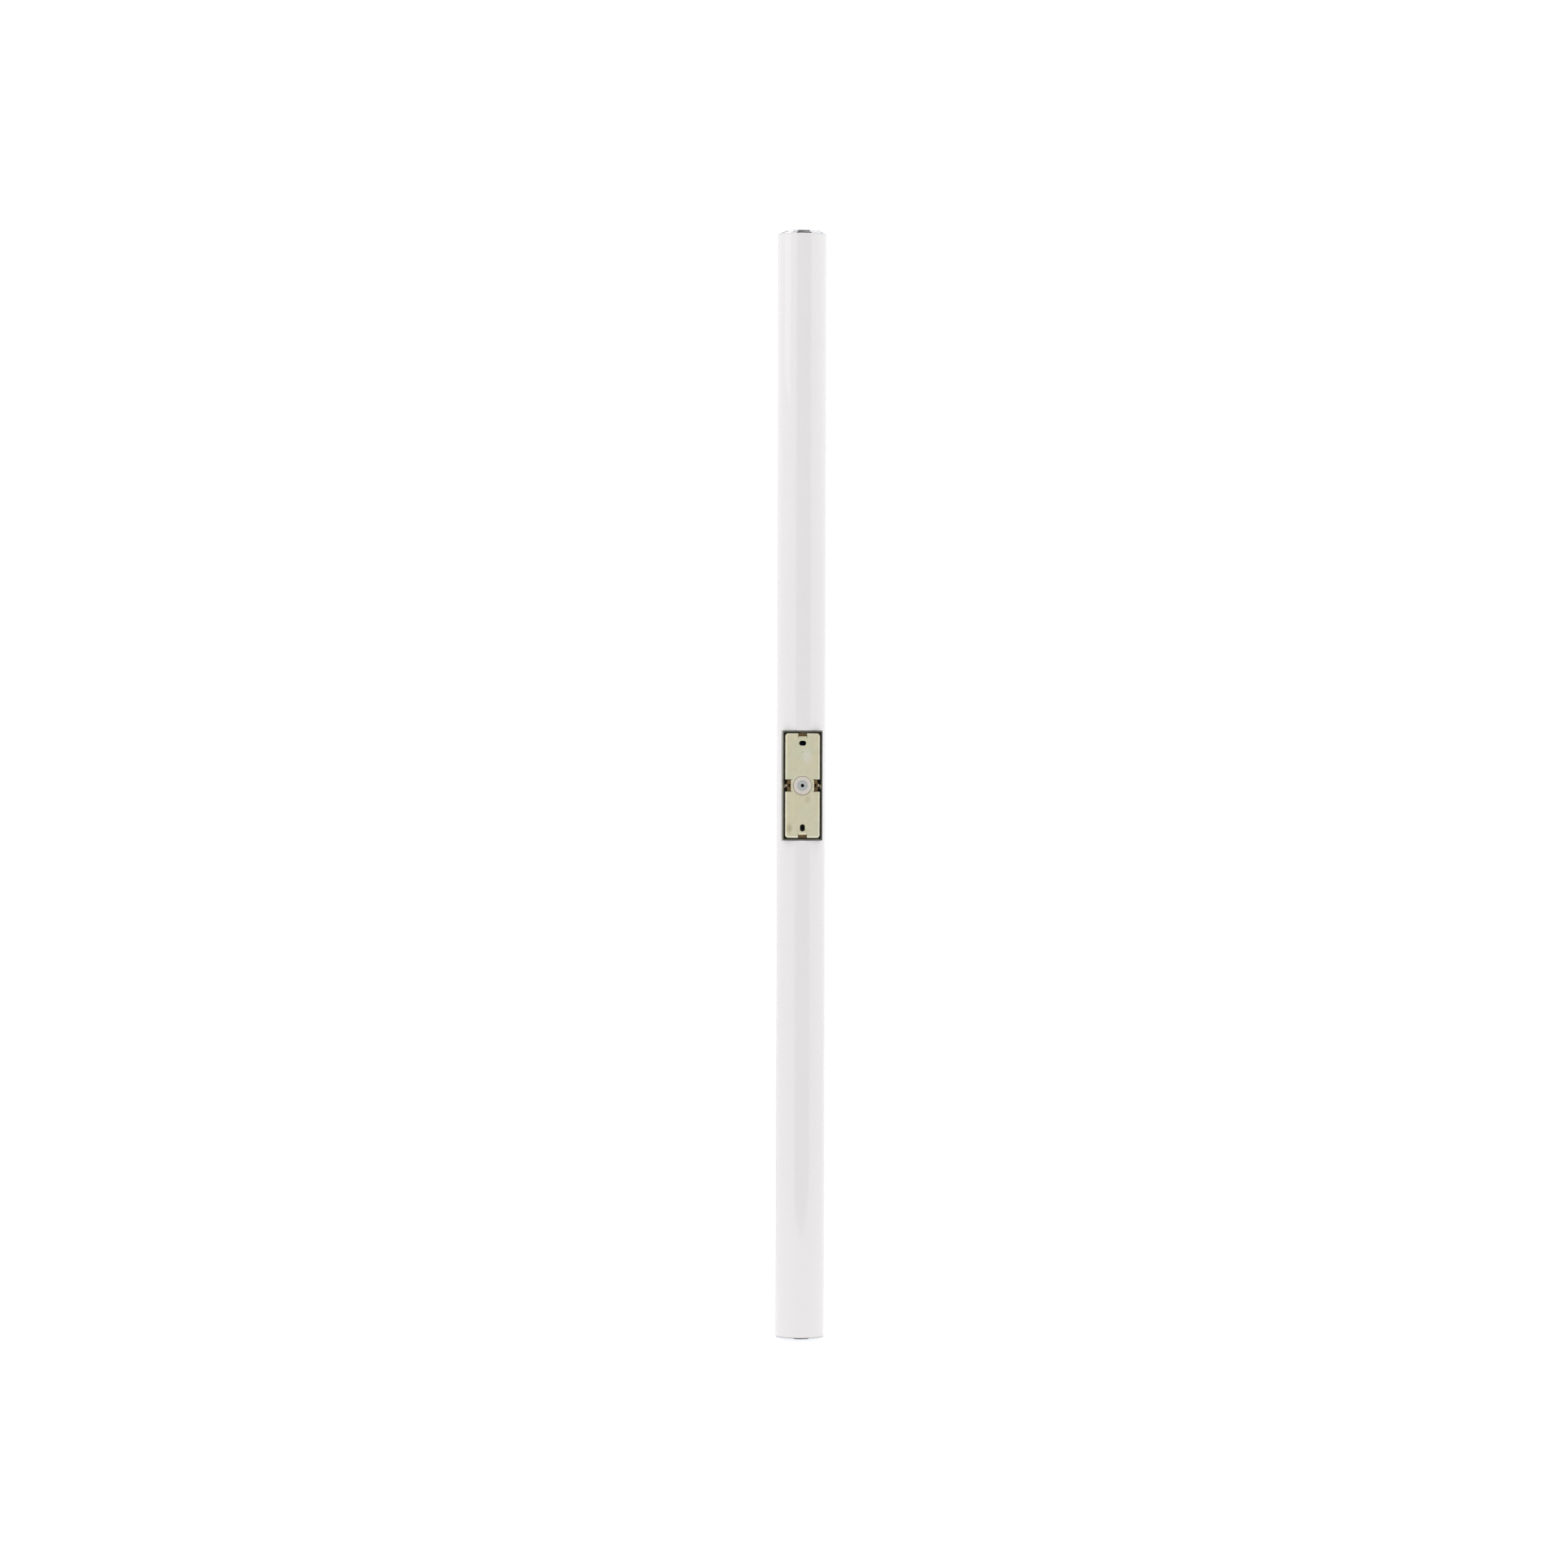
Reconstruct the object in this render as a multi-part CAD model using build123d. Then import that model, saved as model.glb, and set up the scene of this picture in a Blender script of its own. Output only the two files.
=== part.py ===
from build123d import *
import os

# A tubular LED wall light, as it hangs on its wall bracket. Millimetres.
# The wall is the plane Y = 0 and +Y points into the room. +Z is up, along the tube.
# +X is to the right of someone who looks at the back of the light.
# The origin is the middle of the bracket's wall face, on the axis of its cable grommet.

# ---- Diffuser tube: opal acrylic ----
TUBE_OD = 50.8
TUBE_WALL = 3.0
TUBE_LENGTH = 1161.0
WALL_GAP = 0.6  # from the wall to the nearest line of the tube and to the housing's rim

# ---- Sheet metal ----
SHEET = 1.5
BEND_INSIDE = 0.5  # inside radius of a bend
SHEET_CUT_GAP = 0.4  # slit beside a bent tab
OVERCUT = 1.0  # how far a cutting shape reaches past what it cuts

# ---- Wall bracket: a pressed tray with its open side to the room ----
BRACKET_SIDE_GAP = 1.2  # between the bracket and the housing, on each side
BRACKET_END_GAP = 1.0  # the same at each end
BRACKET_DEPTH = 7.0
BRACKET_CORNER = 3.2
BRACKET_ROUND = 1.8  # outside rounding where the face turns into the skirt
SLOT_SPACING = 88.9  # the screw spacing of a standard junction box
SLOT_WIDTH = 5.2
SLOT_LENGTH = 7.6
SIDE_NOTCH_TO_DISH = 2.4  # from the dish to the edge of a side notch
SIDE_NOTCH_HEIGHT = 13.0
END_NOTCH_DEPTH = 3.1
END_NOTCH_WIDTH = 9.4
FOOT_SINK = 3.0  # from the wall face to the back of each foot in a notch
LIP_INSET = 2.0  # from the bracket's side to the lip of a side foot
SIDE_LIP_DEPTH = 10.5  # the clamped lip ends this far from the wall
FOOT_WINDOW_HEIGHT = 3.8
DISH_R = 10.1
DISH_DEPTH = 1.2
DISH_EDGE = 0.9  # rounding of the dish's rim

# ---- Cable grommet: silicone ----
GROMMET_HOLE_R = 7.0
GROMMET_FLANGE_R = 9.7
GROMMET_BEAD_R = 8.6
GROMMET_BEAD = 1.4
GROMMET_MEMBRANE_R = 5.15
GROMMET_MEMBRANE = 1.1
GROMMET_RIM_PLAY = 0.2  # the flange stays this far behind the wall face
GROMMET_ROUND = 0.35
GROMMET_SLOPE = 0.5  # how much wider the flange's opening is than the membrane
GROMMET_SINK = 0.1  # the membrane's back, behind the bottom of the dish
BEAD_TAPER = 0.8
PINHOLE_R = 1.6
NIPPLE_R = 2.8
NIPPLE_LENGTH = 3.0
NIPPLE_TAPER = 0.3

# ---- Mount housing: a folded tray with its open side to the wall ----
HOUSING_WIDTH = 42.0
HOUSING_HEIGHT = 115.0
HOUSING_DEPTH = 21.4
HOUSING_CORNER = 0.6
WINDOW_GAP = 0.3  # all round, between the housing and the tube's window
HOUSING_SCREW_INSET = 7.5  # from the housing's end to its screws

# ---- Side locks: set screws with swivel pads, in threaded bushes ----
LOCK_Y = 6.5  # from the wall to the lock axis
LOCK_R = 2.0
LOCK_THREAD_PLAY = 0.03
LOCK_BUSH_R = 4.3
LOCK_BUSH_PROUD = 0.25
LOCK_BUSH_LENGTH = 2.3
LOCK_SCREW_SINK = 0.15  # the screw's outer end sits this far inside the bush
LOCK_SCREW_LENGTH = 3.4
LOCK_SOCKET = 2.0  # across the flats
LOCK_SOCKET_DEPTH = 1.6
LOCK_CHAMFER = 0.25
PAD_R = 1.7
PAD_STEM_R = 0.9
PAD_STEM = 1.3
PAD_PLAY = 0.05
CLAMP_PLAY = 0.03  # between a pad and the lip that it clamps

# ---- End caps: chromed mouldings ----
CAP_RIM = 1.6
CAP_DISC_R = 21.0
CAP_DISC = 2.1
CAP_RIM_ROUND = 0.4
CAP_DISC_ROUND = 0.8
CAP_SKIRT = 5.5
CAP_WALL = 1.2
CAP_SNAP_PLAY = 0.05

# ---- End plugs and seals ----
PLUG_PLAY = 0.2  # between the plug and the tube's bore
PLUG_LIP = 2.1
PLUG_SINK = 0.2  # the plug's face sits this far inside the tube's end
PLUG_POCKET = 6.3
PLUG_LENGTH = 14.0
SEAL_R = 1.0
SEAL_SQUEEZE = 0.05
SEAL_GROOVE = 2.4
SEAL_FROM_INNER_FACE = 2.4

# ---- LED carrier: an extrusion with two screw ports ----
WEB = 2.0
WEB_HALF = 19.0
RAIL_WIDTH = 6.0
RAIL_HEIGHT = 6.4
PORT_X = 15.5
PORT_Y = 3.2  # from the web's front face
PORT_R = 1.45
CLIP_WALL = 1.2
CLIP_GRIP = 3.0
CLIP_LENGTH = 10.0
CLIP_PLAY = 0.15
CLIP_SPACING = 240.0
CLIP_END_ROOM = 100.0  # no clip is nearer than this to the carrier's end

# ---- LED boards ----
BOARD_WIDTH = 22.0
BOARD = 1.0
BOARD_JOINT = 3.0  # half the gap between the two boards
BOARD_END_GAP = 1.3  # between a board and the end plug
LED_PITCH = 10.0
LED_FIRST = 6.0  # from a board's inner end to its first LED's centre
LED_SIZE = (3.5, 0.8, 2.8)
BOARD_SCREW_X = -7.5
BOARD_SCREW_INSET = 21.5
BOARD_SCREWS = 4
PLUG_BLOCK = (7.0, 3.5, 7.0)  # a board connector
PLUG_BLOCK_X = 7.0
PLUG_BLOCK_GAP = 2.0  # from a board's inner end to its connector

# ---- Driver, behind the carrier ----
DRIVER_WIDTH = 28.0
DRIVER_DEPTH = 13.0
DRIVER_LENGTH = 150.0
DRIVER_GAP = 14.5  # from the housing to the driver's case
DRIVER_WALL = 1.3
DRIVER_BASE = 1.6
DRIVER_EAR = 9.0
DRIVER_ROUND = 1.0
DRIVER_BOARD = 1.6
DRIVER_PLAY = 0.3
DRIVER_BOARD_GAP = 1.0  # between the base plate and the circuit board
CORE = (16.0, 6.5, 18.0)  # the transformer's core: width, height and length
CORE_MIDDLE = 5.0  # width of its middle leg
CORE_OUTER = 2.0  # width of its outer legs
CORE_END = 2.5
CAN_R = 3.1
CAN_LENGTH = 16.0
CAN_CHAMFER = 0.4
CAN_X = 5.0
COIL_R = 5.5
COIL_THICK_R = 2.0
COIL_LIFT = 0.1
CORE_SHARE = 0.6  # place along the driver, as a share of its length
CAN_SHARES = (0.25, 0.82)
COIL_SHARE = 0.4

# ---- Terminals and earth, in the housing ----
POLE_PITCH = 6.0
POLES = 3
TERMINAL_HEIGHT = 18.0
TERMINAL_DEPTH = 11.0
TERMINAL_FOOT = 10.0
TERMINAL_WALL = 0.5
TERMINAL_CHAMFER = 1.2
TERMINAL_GROOVE = (0.8, 2.0)  # width and depth between two poles
ENTRY_DEPTH = 3.0
CLAMP_SINK = 1.2  # the clamping screws' heads lie this far inside
CLAMP_SLOT = (0.6, 0.6)  # width and depth
EARTH_X = -8.0
EARTH_BELOW_TOP = 10.0
EARTH_RING_R = 3.3
EARTH_RING = 0.8
EARTH_TONGUE = (2.8, 3.0)  # width, and length past the ring
EARTH_BARREL = (3.0, 0.6)  # length and wall of the crimped barrel
EARTH_BARREL_LAP = 1.0  # over the tongue

# ---- Leads ----
MAINS_LEAD_R = 1.1
LED_LEAD_R = 0.9
LEAD_Y = 14.0
LEAD_BUSH_X = 3.0
LEAD_BUSH_R = 4.5
LEAD_BUSH_LIP = 1.0
LEAD_PITCH = 2.8
LEAD_STRAIGHT = 6.0  # a mains lead leaves its pole straight for this length
MAINS_TURN = 20.0  # bend radius of the mains leads
EARTH_TURN = 1.6
FEED_TURNS = [5.5, 4.5]  # bend radii of the LED leads
LED_LEAD_PITCH = 2.2
FEED_HOLE_R = 3.5
FEED_TURN = 22.0  # from the driver's upper end to the leads' turn through the carrier
FEED_RETURN = 10.0

# ---- Screws: thread radius, head radius, head height ----
M4 = (2.0, 3.5, 2.4)
M3 = (1.5, 2.75, 1.9)
PLUG_SCREW = (PORT_R, 2.75, 2.1)
PLUG_SCREW_BITE = 11.0  # how far a plug screw goes into the carrier
SCREW_TIP_GAP = 0.2  # a screw's tip stops this far short of the next piece
HOLE_PLAY = 0.1
DRIVE_SHARE = 0.55  # depth of a cross recess, as a share of the head's height
DRIVE_ARM = 0.55  # half length of its arms, as a share of the head's radius
DRIVE_WIDTH = 0.16  # half width of its arms, the same
HEAD_ROUND = 0.4  # rounding of a head, as a share of its height

# ---- Places worked out from the sizes above ----
TUBE_R = TUBE_OD / 2
BORE_R = TUBE_R - TUBE_WALL
AXIS_Y = WALL_GAP + TUBE_R
TUBE_END = TUBE_LENGTH / 2
FLOOR_BACK = WALL_GAP + HOUSING_DEPTH - SHEET
FLOOR_FRONT = WALL_GAP + HOUSING_DEPTH
WEB_FRONT = FLOOR_FRONT + WEB
BOARD_FRONT = WEB_FRONT + BOARD
BRACKET_WIDTH = HOUSING_WIDTH - 2 * (SHEET + BRACKET_SIDE_GAP)
BRACKET_HEIGHT = HOUSING_HEIGHT - 2 * (SHEET + BRACKET_END_GAP)
HALF_WIDTH = BRACKET_WIDTH / 2
HALF_HEIGHT = BRACKET_HEIGHT / 2
BEND_OUTSIDE = BEND_INSIDE + SHEET
SIDE_NOTCH_X = DISH_R + SIDE_NOTCH_TO_DISH
END_NOTCH_Z = HALF_HEIGHT - END_NOTCH_DEPTH
LIP_X = HALF_WIDTH - LIP_INSET
BUSH_OUT = HOUSING_WIDTH / 2 + LOCK_BUSH_PROUD
BUSH_IN = BUSH_OUT - LOCK_BUSH_LENGTH
SCREW_OUT = BUSH_OUT - LOCK_SCREW_SINK
SCREW_IN = SCREW_OUT - LOCK_SCREW_LENGTH
PLUG_R = BORE_R - PLUG_PLAY
POCKET_R = PLUG_R - PLUG_LIP
PLUG_FACE = TUBE_END - PLUG_SINK
POCKET_FLOOR = PLUG_FACE - PLUG_POCKET
PLUG_INNER = PLUG_FACE - PLUG_LENGTH
SEAL_Z = PLUG_INNER + SEAL_FROM_INNER_FACE + SEAL_GROOVE / 2
SEAL_CENTRE_R = BORE_R - SEAL_R + SEAL_SQUEEZE
SKIRT_R = POCKET_R - CAP_SNAP_PLAY
PORT_LINE_Y = WEB_FRONT + PORT_Y
BOARD_LENGTH = PLUG_INNER - BOARD_END_GAP - BOARD_JOINT
BOARD_SCREW_STEP = (BOARD_LENGTH - 2 * BOARD_SCREW_INSET) / (BOARD_SCREWS - 1)
LED_COUNT = int((BOARD_LENGTH - 1.5 * LED_FIRST) / LED_PITCH) + 1
CLIP_ROWS = int(2 * (PLUG_INNER - CLIP_END_ROOM) / CLIP_SPACING) + 1
DRIVER_BACK = FLOOR_FRONT - DRIVER_DEPTH
DRIVER_START = HOUSING_HEIGHT / 2 + DRIVER_GAP
DRIVER_END = DRIVER_START + DRIVER_LENGTH
DRIVER_BASE_BACK = FLOOR_FRONT - DRIVER_BASE
TERMINAL_TOP = TERMINAL_FOOT + TERMINAL_HEIGHT
TERMINAL_BACK = FLOOR_BACK - TERMINAL_DEPTH
HOUSING_TOP = HOUSING_HEIGHT / 2
HOUSING_SCREW_Z = HOUSING_TOP - HOUSING_SCREW_INSET
EARTH_Z = HOUSING_TOP - EARTH_BELOW_TOP
EARTH_BARREL_Y = FLOOR_BACK - MAINS_LEAD_R - EARTH_BARREL[1]
EARTH_TONGUE_END = EARTH_Z - EARTH_RING_R - EARTH_TONGUE[1]
EARTH_BARREL_END = EARTH_TONGUE_END - EARTH_BARREL[0] + EARTH_BARREL_LAP
HOUSING_SCREW_END = WEB_FRONT + PORT_Y - PORT_R - SCREW_TIP_GAP
COMPONENT_Y = DRIVER_BASE_BACK - DRIVER_BOARD_GAP - DRIVER_BOARD
PLUG_BLOCK_START = BOARD_JOINT + PLUG_BLOCK_GAP
FEED_Z = DRIVER_END + FEED_TURN
FEED_PLUG_TOP = FEED_Z - FEED_RETURN
LINK_Y = BOARD_FRONT + PLUG_BLOCK[1] / 2


# ---- Shapes used by several pieces ----
def block(x, y, z):
    """A box from its (low, high) limits along X, Y and Z."""
    size = (x[1] - x[0], y[1] - y[0], z[1] - z[0])
    corner = (Align.MIN, Align.MIN, Align.MIN)
    return Pos(x[0], y[0], z[0]) * Box(*size, align=corner)


def rod(radius, along, span, at=(0.0, 0.0)):
    """A round bar along X, Y or Z between two coordinates; at is its place on the other two axes."""
    bar = Cylinder(radius, abs(span[1] - span[0]), align=(Align.CENTER, Align.CENTER, Align.MIN))
    start = min(span)
    if along == "X":
        return Pos(start, at[0], at[1]) * Rot(0, 90, 0) * bar
    if along == "Y":
        return Pos(at[0], start, at[1]) * Rot(-90, 0, 0) * bar
    return Pos(at[0], at[1], start) * bar


def turned(outline, rounds, axis_y):
    """A piece turned about an upright axis: outline is its half section as (radius, height) points."""
    edge = FilletPolyline(*outline, radius=rounds, close=True)
    return Pos(0, axis_y, 0) * revolve(Plane.XZ * make_face(edge), Axis.Z)


def plain(outline):
    """Rounding radii of nothing, one for each corner of an outline."""
    return [0.0] * len(outline)


def tray(width, height, y, corner, floor_round, floor_at_low):
    """A round-cornered slab between two Y values with one face's edge rounded."""
    slab = extrude(Plane.XZ * RectangleRounded(width, height, corner), amount=-(y[1] - y[0]))
    slab = Pos(0, y[0], 0) * slab
    face = slab.faces().sort_by(Axis.Y)[0 if floor_at_low else -1]
    return fillet(face.edges(), floor_round)


def bent_strip(corners, width):
    """A strip of sheet folded at right angles: corners run along the middle of its thickness, in XY."""
    half = SHEET / 2
    middle = BEND_INSIDE + half
    path = [Vector(*c) for c in corners]
    line = FilletPolyline(*path, radius=middle)
    face = trace(line, SHEET)
    start = Pos(0, 0, -width / 2)
    return start * extrude(face, amount=width)


def both_sides(shape):
    """A piece on the +X side with its mirror image on the -X side."""
    return [shape, mirror(shape, Plane.YZ)]


def both_ends(shape):
    """A piece on the +Z side with its mirror image on the -Z side."""
    return [shape, mirror(shape, Plane.XY)]


def screw(size, head_y, x, z, length):
    """A pan-head screw along +Y: its head stands behind head_y and its shank goes in for length."""
    thread_r, head_r, head = size
    top = rod(head_r, "Y", (head_y - head, head_y), (x, z))
    top = fillet(top.edges().sort_by(Axis.Y)[0], head * HEAD_ROUND)
    top -= cross_recess(head_y - head, head * DRIVE_SHARE, head_r, x, z)
    return top + rod(thread_r, "Y", (head_y, head_y + length), (x, z))


def cross_recess(y, depth, head_r, x, z):
    """The cross-shaped recess cut in a screw head whose top is at y."""
    arm = head_r * DRIVE_ARM
    width = head_r * DRIVE_WIDTH
    cut = block((x - arm, x + arm), (y - depth, y + depth), (z - width, z + width))
    return cut + block((x - width, x + width), (y - depth, y + depth), (z - arm, z + arm))


def front_screw(size, head_y, x, z, length):
    """A pan-head screw along -Y: its head stands in front of head_y."""
    return mirror(screw(size, -head_y, x, z, length), Plane.XZ)


def lead(radius, route, bends):
    """A wire of round section: straight runs joined by tangent arcs."""
    path = FilletPolyline(*route, radius=bends)
    start = Plane(origin=path @ 0, z_dir=path % 0)
    return sweep(start * Circle(radius), path=path)


def save(shape, name):
    """Writes one piece, or a group of like pieces as separate solids."""
    export_step(Compound(children=shape) if isinstance(shape, list) else shape, f"parts/{name}.step")


# ---- Wall bracket and its grommet ----
def wall_bracket():
    """Pressed tray with a dished hole, two screw slots, and feet folded down in its four notches."""
    skirt = (0, BRACKET_DEPTH)
    body = tray(BRACKET_WIDTH, BRACKET_HEIGHT, skirt, BRACKET_CORNER, BRACKET_ROUND, True)
    inner_corner = BRACKET_CORNER - SHEET
    hollow = (SHEET, BRACKET_DEPTH + OVERCUT)
    inner_size = (BRACKET_WIDTH - 2 * SHEET, BRACKET_HEIGHT - 2 * SHEET)
    body -= tray(*inner_size, hollow, inner_corner, BEND_INSIDE, True)

    body += rod(DISH_R + SHEET, "Y", (SHEET, DISH_DEPTH + SHEET))
    body -= rod(DISH_R, "Y", (0, DISH_DEPTH))
    body -= rod(GROMMET_HOLE_R, "Y", (0, DISH_DEPTH + SHEET))
    rim = [e for e in body.edges().filter_by(GeomType.CIRCLE) if abs(e.radius - DISH_R) < 0.01]
    body = fillet(sorted(rim, key=lambda e: e.center().Y)[0], DISH_EDGE)

    slot = extrude(Plane.XZ * SlotOverall(SLOT_LENGTH, SLOT_WIDTH), amount=-2 * SHEET)
    body -= Pos(0, -SHEET / 2, SLOT_SPACING / 2) * slot
    body -= Pos(0, -SHEET / 2, -SLOT_SPACING / 2) * Rot(0, 90, 0) * slot

    through = (-OVERCUT, BRACKET_DEPTH + OVERCUT)
    side_cut = block(
        (SIDE_NOTCH_X - BEND_OUTSIDE, HALF_WIDTH + OVERCUT),
        through,
        (-SIDE_NOTCH_HEIGHT / 2, SIDE_NOTCH_HEIGHT / 2),
    )
    end_cut = block(
        (-END_NOTCH_WIDTH / 2, END_NOTCH_WIDTH / 2),
        through,
        (END_NOTCH_Z - BEND_OUTSIDE, HALF_HEIGHT + OVERCUT),
    )
    for cut in both_sides(side_cut) + both_ends(end_cut):
        body -= cut
    for foot in both_sides(side_foot()) + both_ends(end_foot()):
        body += foot
    return body


def side_foot():
    """Foot of a side notch: down, out under the notch, and down again to the lip that the pad clamps."""
    half = SHEET / 2
    wall_x = SIDE_NOTCH_X - half
    foot_y = FOOT_SINK + half
    lip_x = LIP_X - half
    corners = [
        (SIDE_NOTCH_X - BEND_OUTSIDE - 0.1, half),
        (wall_x, half),
        (wall_x, foot_y),
        (lip_x, foot_y),
        (lip_x, SIDE_LIP_DEPTH),
    ]
    strip = bent_strip(corners, SIDE_NOTCH_HEIGHT - 2 * SHEET_CUT_GAP)
    window = block(
        (SIDE_NOTCH_X + BEND_INSIDE, LIP_X - SHEET),
        (FOOT_SINK - OVERCUT, FOOT_SINK + SHEET + BEND_INSIDE),
        (-FOOT_WINDOW_HEIGHT / 2, FOOT_WINDOW_HEIGHT / 2),
    )
    return strip - window


def end_foot():
    """Foot of an end notch: down and out, flush with the bracket's end."""
    half = SHEET / 2
    wall_z = END_NOTCH_Z - half
    foot_y = FOOT_SINK + half
    corners = [
        (END_NOTCH_Z - BEND_OUTSIDE - 0.1, half),
        (wall_z, half),
        (wall_z, foot_y),
        (HALF_HEIGHT, foot_y),
    ]
    return Rot(0, -90, 0) * bent_strip(corners, END_NOTCH_WIDTH - 2 * SHEET_CUT_GAP)


def cable_grommet():
    """Silicone grommet: a flange in the dish, a neck through the sheet, a bead, and a pinhole nipple."""
    back = GROMMET_RIM_PLAY
    seat = DISH_DEPTH
    bead = DISH_DEPTH + SHEET
    front = bead + GROMMET_BEAD
    membrane = seat - GROMMET_SINK
    opening = GROMMET_MEMBRANE_R + GROMMET_SLOPE
    outline = [
        (PINHOLE_R, membrane),
        (GROMMET_MEMBRANE_R, membrane),
        (opening, back),
        (GROMMET_FLANGE_R, back),
        (GROMMET_FLANGE_R, seat),
        (GROMMET_HOLE_R, seat),
        (GROMMET_HOLE_R, bead),
        (GROMMET_BEAD_R, bead),
        (GROMMET_BEAD_R - BEAD_TAPER, front),
        (opening, front),
        (opening, membrane + GROMMET_MEMBRANE),
        (NIPPLE_R + NIPPLE_TAPER, membrane + GROMMET_MEMBRANE),
        (NIPPLE_R, membrane + NIPPLE_LENGTH),
        (PINHOLE_R, membrane + NIPPLE_LENGTH),
    ]
    rounds = plain(outline)
    rounds[2] = GROMMET_ROUND
    rounds[3] = GROMMET_ROUND
    edge = FilletPolyline(*outline, radius=rounds, close=True)
    return revolve(make_face(edge), Axis.Y)


# ---- Housing and what is fixed in it ----
def mount_housing():
    """Folded sheet tray, open to the wall, with holes for the locks, screws, leads and earth."""
    depth = (WALL_GAP, FLOOR_FRONT)
    body = tray(HOUSING_WIDTH, HOUSING_HEIGHT, depth, HOUSING_CORNER, HOUSING_CORNER / 2, False)
    hollow = (WALL_GAP - OVERCUT, FLOOR_BACK)
    inner_size = (HOUSING_WIDTH - 2 * SHEET, HOUSING_HEIGHT - 2 * SHEET)
    body -= tray(*inner_size, hollow, BEND_INSIDE, BEND_INSIDE, False)
    body -= rod(LOCK_BUSH_R, "X", (-HOUSING_WIDTH, HOUSING_WIDTH), (LOCK_Y, 0))
    floor = (FLOOR_BACK - OVERCUT, FLOOR_FRONT + OVERCUT)
    for x, z in housing_screw_places():
        body -= rod(M4[0] + HOLE_PLAY, "Y", floor, (x, z))
    body -= rod(M4[0], "Y", floor, (EARTH_X, EARTH_Z))
    bush_hole = (HOUSING_TOP - SHEET - OVERCUT, HOUSING_TOP + OVERCUT)
    return body - rod(LEAD_BUSH_R, "Z", bush_hole, (LEAD_BUSH_X, LEAD_Y))


def housing_screw_places():
    """The four screws that go through the housing's floor into the carrier's rails."""
    return [(x, z) for x in (-PORT_X, PORT_X) for z in (-HOUSING_SCREW_Z, HOUSING_SCREW_Z)]


def housing_screws():
    """Four screws, which stop short of the carrier's screw ports."""
    return [screw(M4, FLOOR_BACK, x, z, HOUSING_SCREW_END - FLOOR_BACK) for x, z in housing_screw_places()]


def lock_bush():
    """Threaded bush in a side wall of the housing, for the +X lock."""
    body = rod(LOCK_BUSH_R, "X", (BUSH_IN, BUSH_OUT), (LOCK_Y, 0))
    body = chamfer(body.edges().sort_by(Axis.X)[-1], LOCK_BUSH_PROUD / 2)
    return body - rod(LOCK_R + LOCK_THREAD_PLAY, "X", (BUSH_IN - OVERCUT, BUSH_OUT + OVERCUT), (LOCK_Y, 0))


def lock_screw():
    """Set screw of the +X lock: a hexagon socket outside and a bore for the pad's stem inside."""
    body = rod(LOCK_R, "X", (SCREW_IN, SCREW_OUT), (LOCK_Y, 0))
    body = chamfer(body.edges().filter_by(GeomType.CIRCLE), LOCK_CHAMFER)
    socket = Plane.YZ * RegularPolygon(LOCK_SOCKET / 2, 6, major_radius=False)
    body -= Pos(SCREW_OUT - LOCK_SOCKET_DEPTH, LOCK_Y, 0) * extrude(socket, amount=LOCK_SOCKET_DEPTH + OVERCUT)
    stem_hole = (SCREW_IN - OVERCUT, SCREW_IN + PAD_STEM + PAD_PLAY)
    return body - rod(PAD_STEM_R + PAD_PLAY, "X", stem_hole, (LOCK_Y, 0))


def lock_pad():
    """Swivel pad on the +X set screw: a disc that bears on the bracket's lip, and a stem."""
    disc = rod(PAD_R, "X", (LIP_X + CLAMP_PLAY, SCREW_IN - PAD_PLAY), (LOCK_Y, 0))
    disc = chamfer(disc.edges().sort_by(Axis.X)[0], LOCK_CHAMFER)
    return disc + rod(PAD_STEM_R, "X", (SCREW_IN - PAD_PLAY, SCREW_IN + PAD_STEM), (LOCK_Y, 0))


def terminal_block():
    """Three-pole terminal block on the housing's floor, with wire entries above and below."""
    half = POLES * POLE_PITCH / 2 + TERMINAL_WALL
    body = block((-half, half), (TERMINAL_BACK, FLOOR_BACK), (TERMINAL_FOOT, TERMINAL_TOP))
    body = chamfer(body.edges().filter_by(Axis.X).group_by(Axis.Y)[0], TERMINAL_CHAMFER)
    wide, deep = TERMINAL_GROOVE
    height = (TERMINAL_FOOT - OVERCUT, TERMINAL_TOP + OVERCUT)
    groove = block((-wide / 2, wide / 2), (TERMINAL_BACK - OVERCUT, TERMINAL_BACK + deep), height)
    for i in range(1, POLES):
        body -= Pos(-half + TERMINAL_WALL + i * POLE_PITCH, 0, 0) * groove
    for x in pole_places():
        for z in terminal_screw_heights():
            body -= rod(M3[0] + HOLE_PLAY, "Y", (TERMINAL_BACK - OVERCUT, LEAD_Y), (x, z))
        entry = (TERMINAL_FOOT - OVERCUT, TERMINAL_FOOT + ENTRY_DEPTH)
        body -= rod(MAINS_LEAD_R + HOLE_PLAY, "Z", entry, (x, LEAD_Y))
    return body


def pole_places():
    """The X of each pole: earth, neutral, live."""
    return [(i - (POLES - 1) / 2) * POLE_PITCH for i in range(POLES)]


def terminal_screw_heights():
    """The Z of the two clamping screws of a pole."""
    return [TERMINAL_FOOT + TERMINAL_HEIGHT * share for share in (0.3, 0.7)]


def terminal_screws():
    """Slotted clamping screws, two for each pole, sunk in the terminal block."""
    head_y = TERMINAL_BACK + CLAMP_SINK
    wide, deep = CLAMP_SLOT
    screws = []
    for x in pole_places():
        for z in terminal_screw_heights():
            pin = rod(M3[0], "Y", (head_y, LEAD_Y - SCREW_TIP_GAP), (x, z))
            across = (x - M3[0] - OVERCUT, x + M3[0] + OVERCUT)
            screws.append(pin - block(across, (head_y - OVERCUT, head_y + deep), (z - wide / 2, z + wide / 2)))
    return screws


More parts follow.
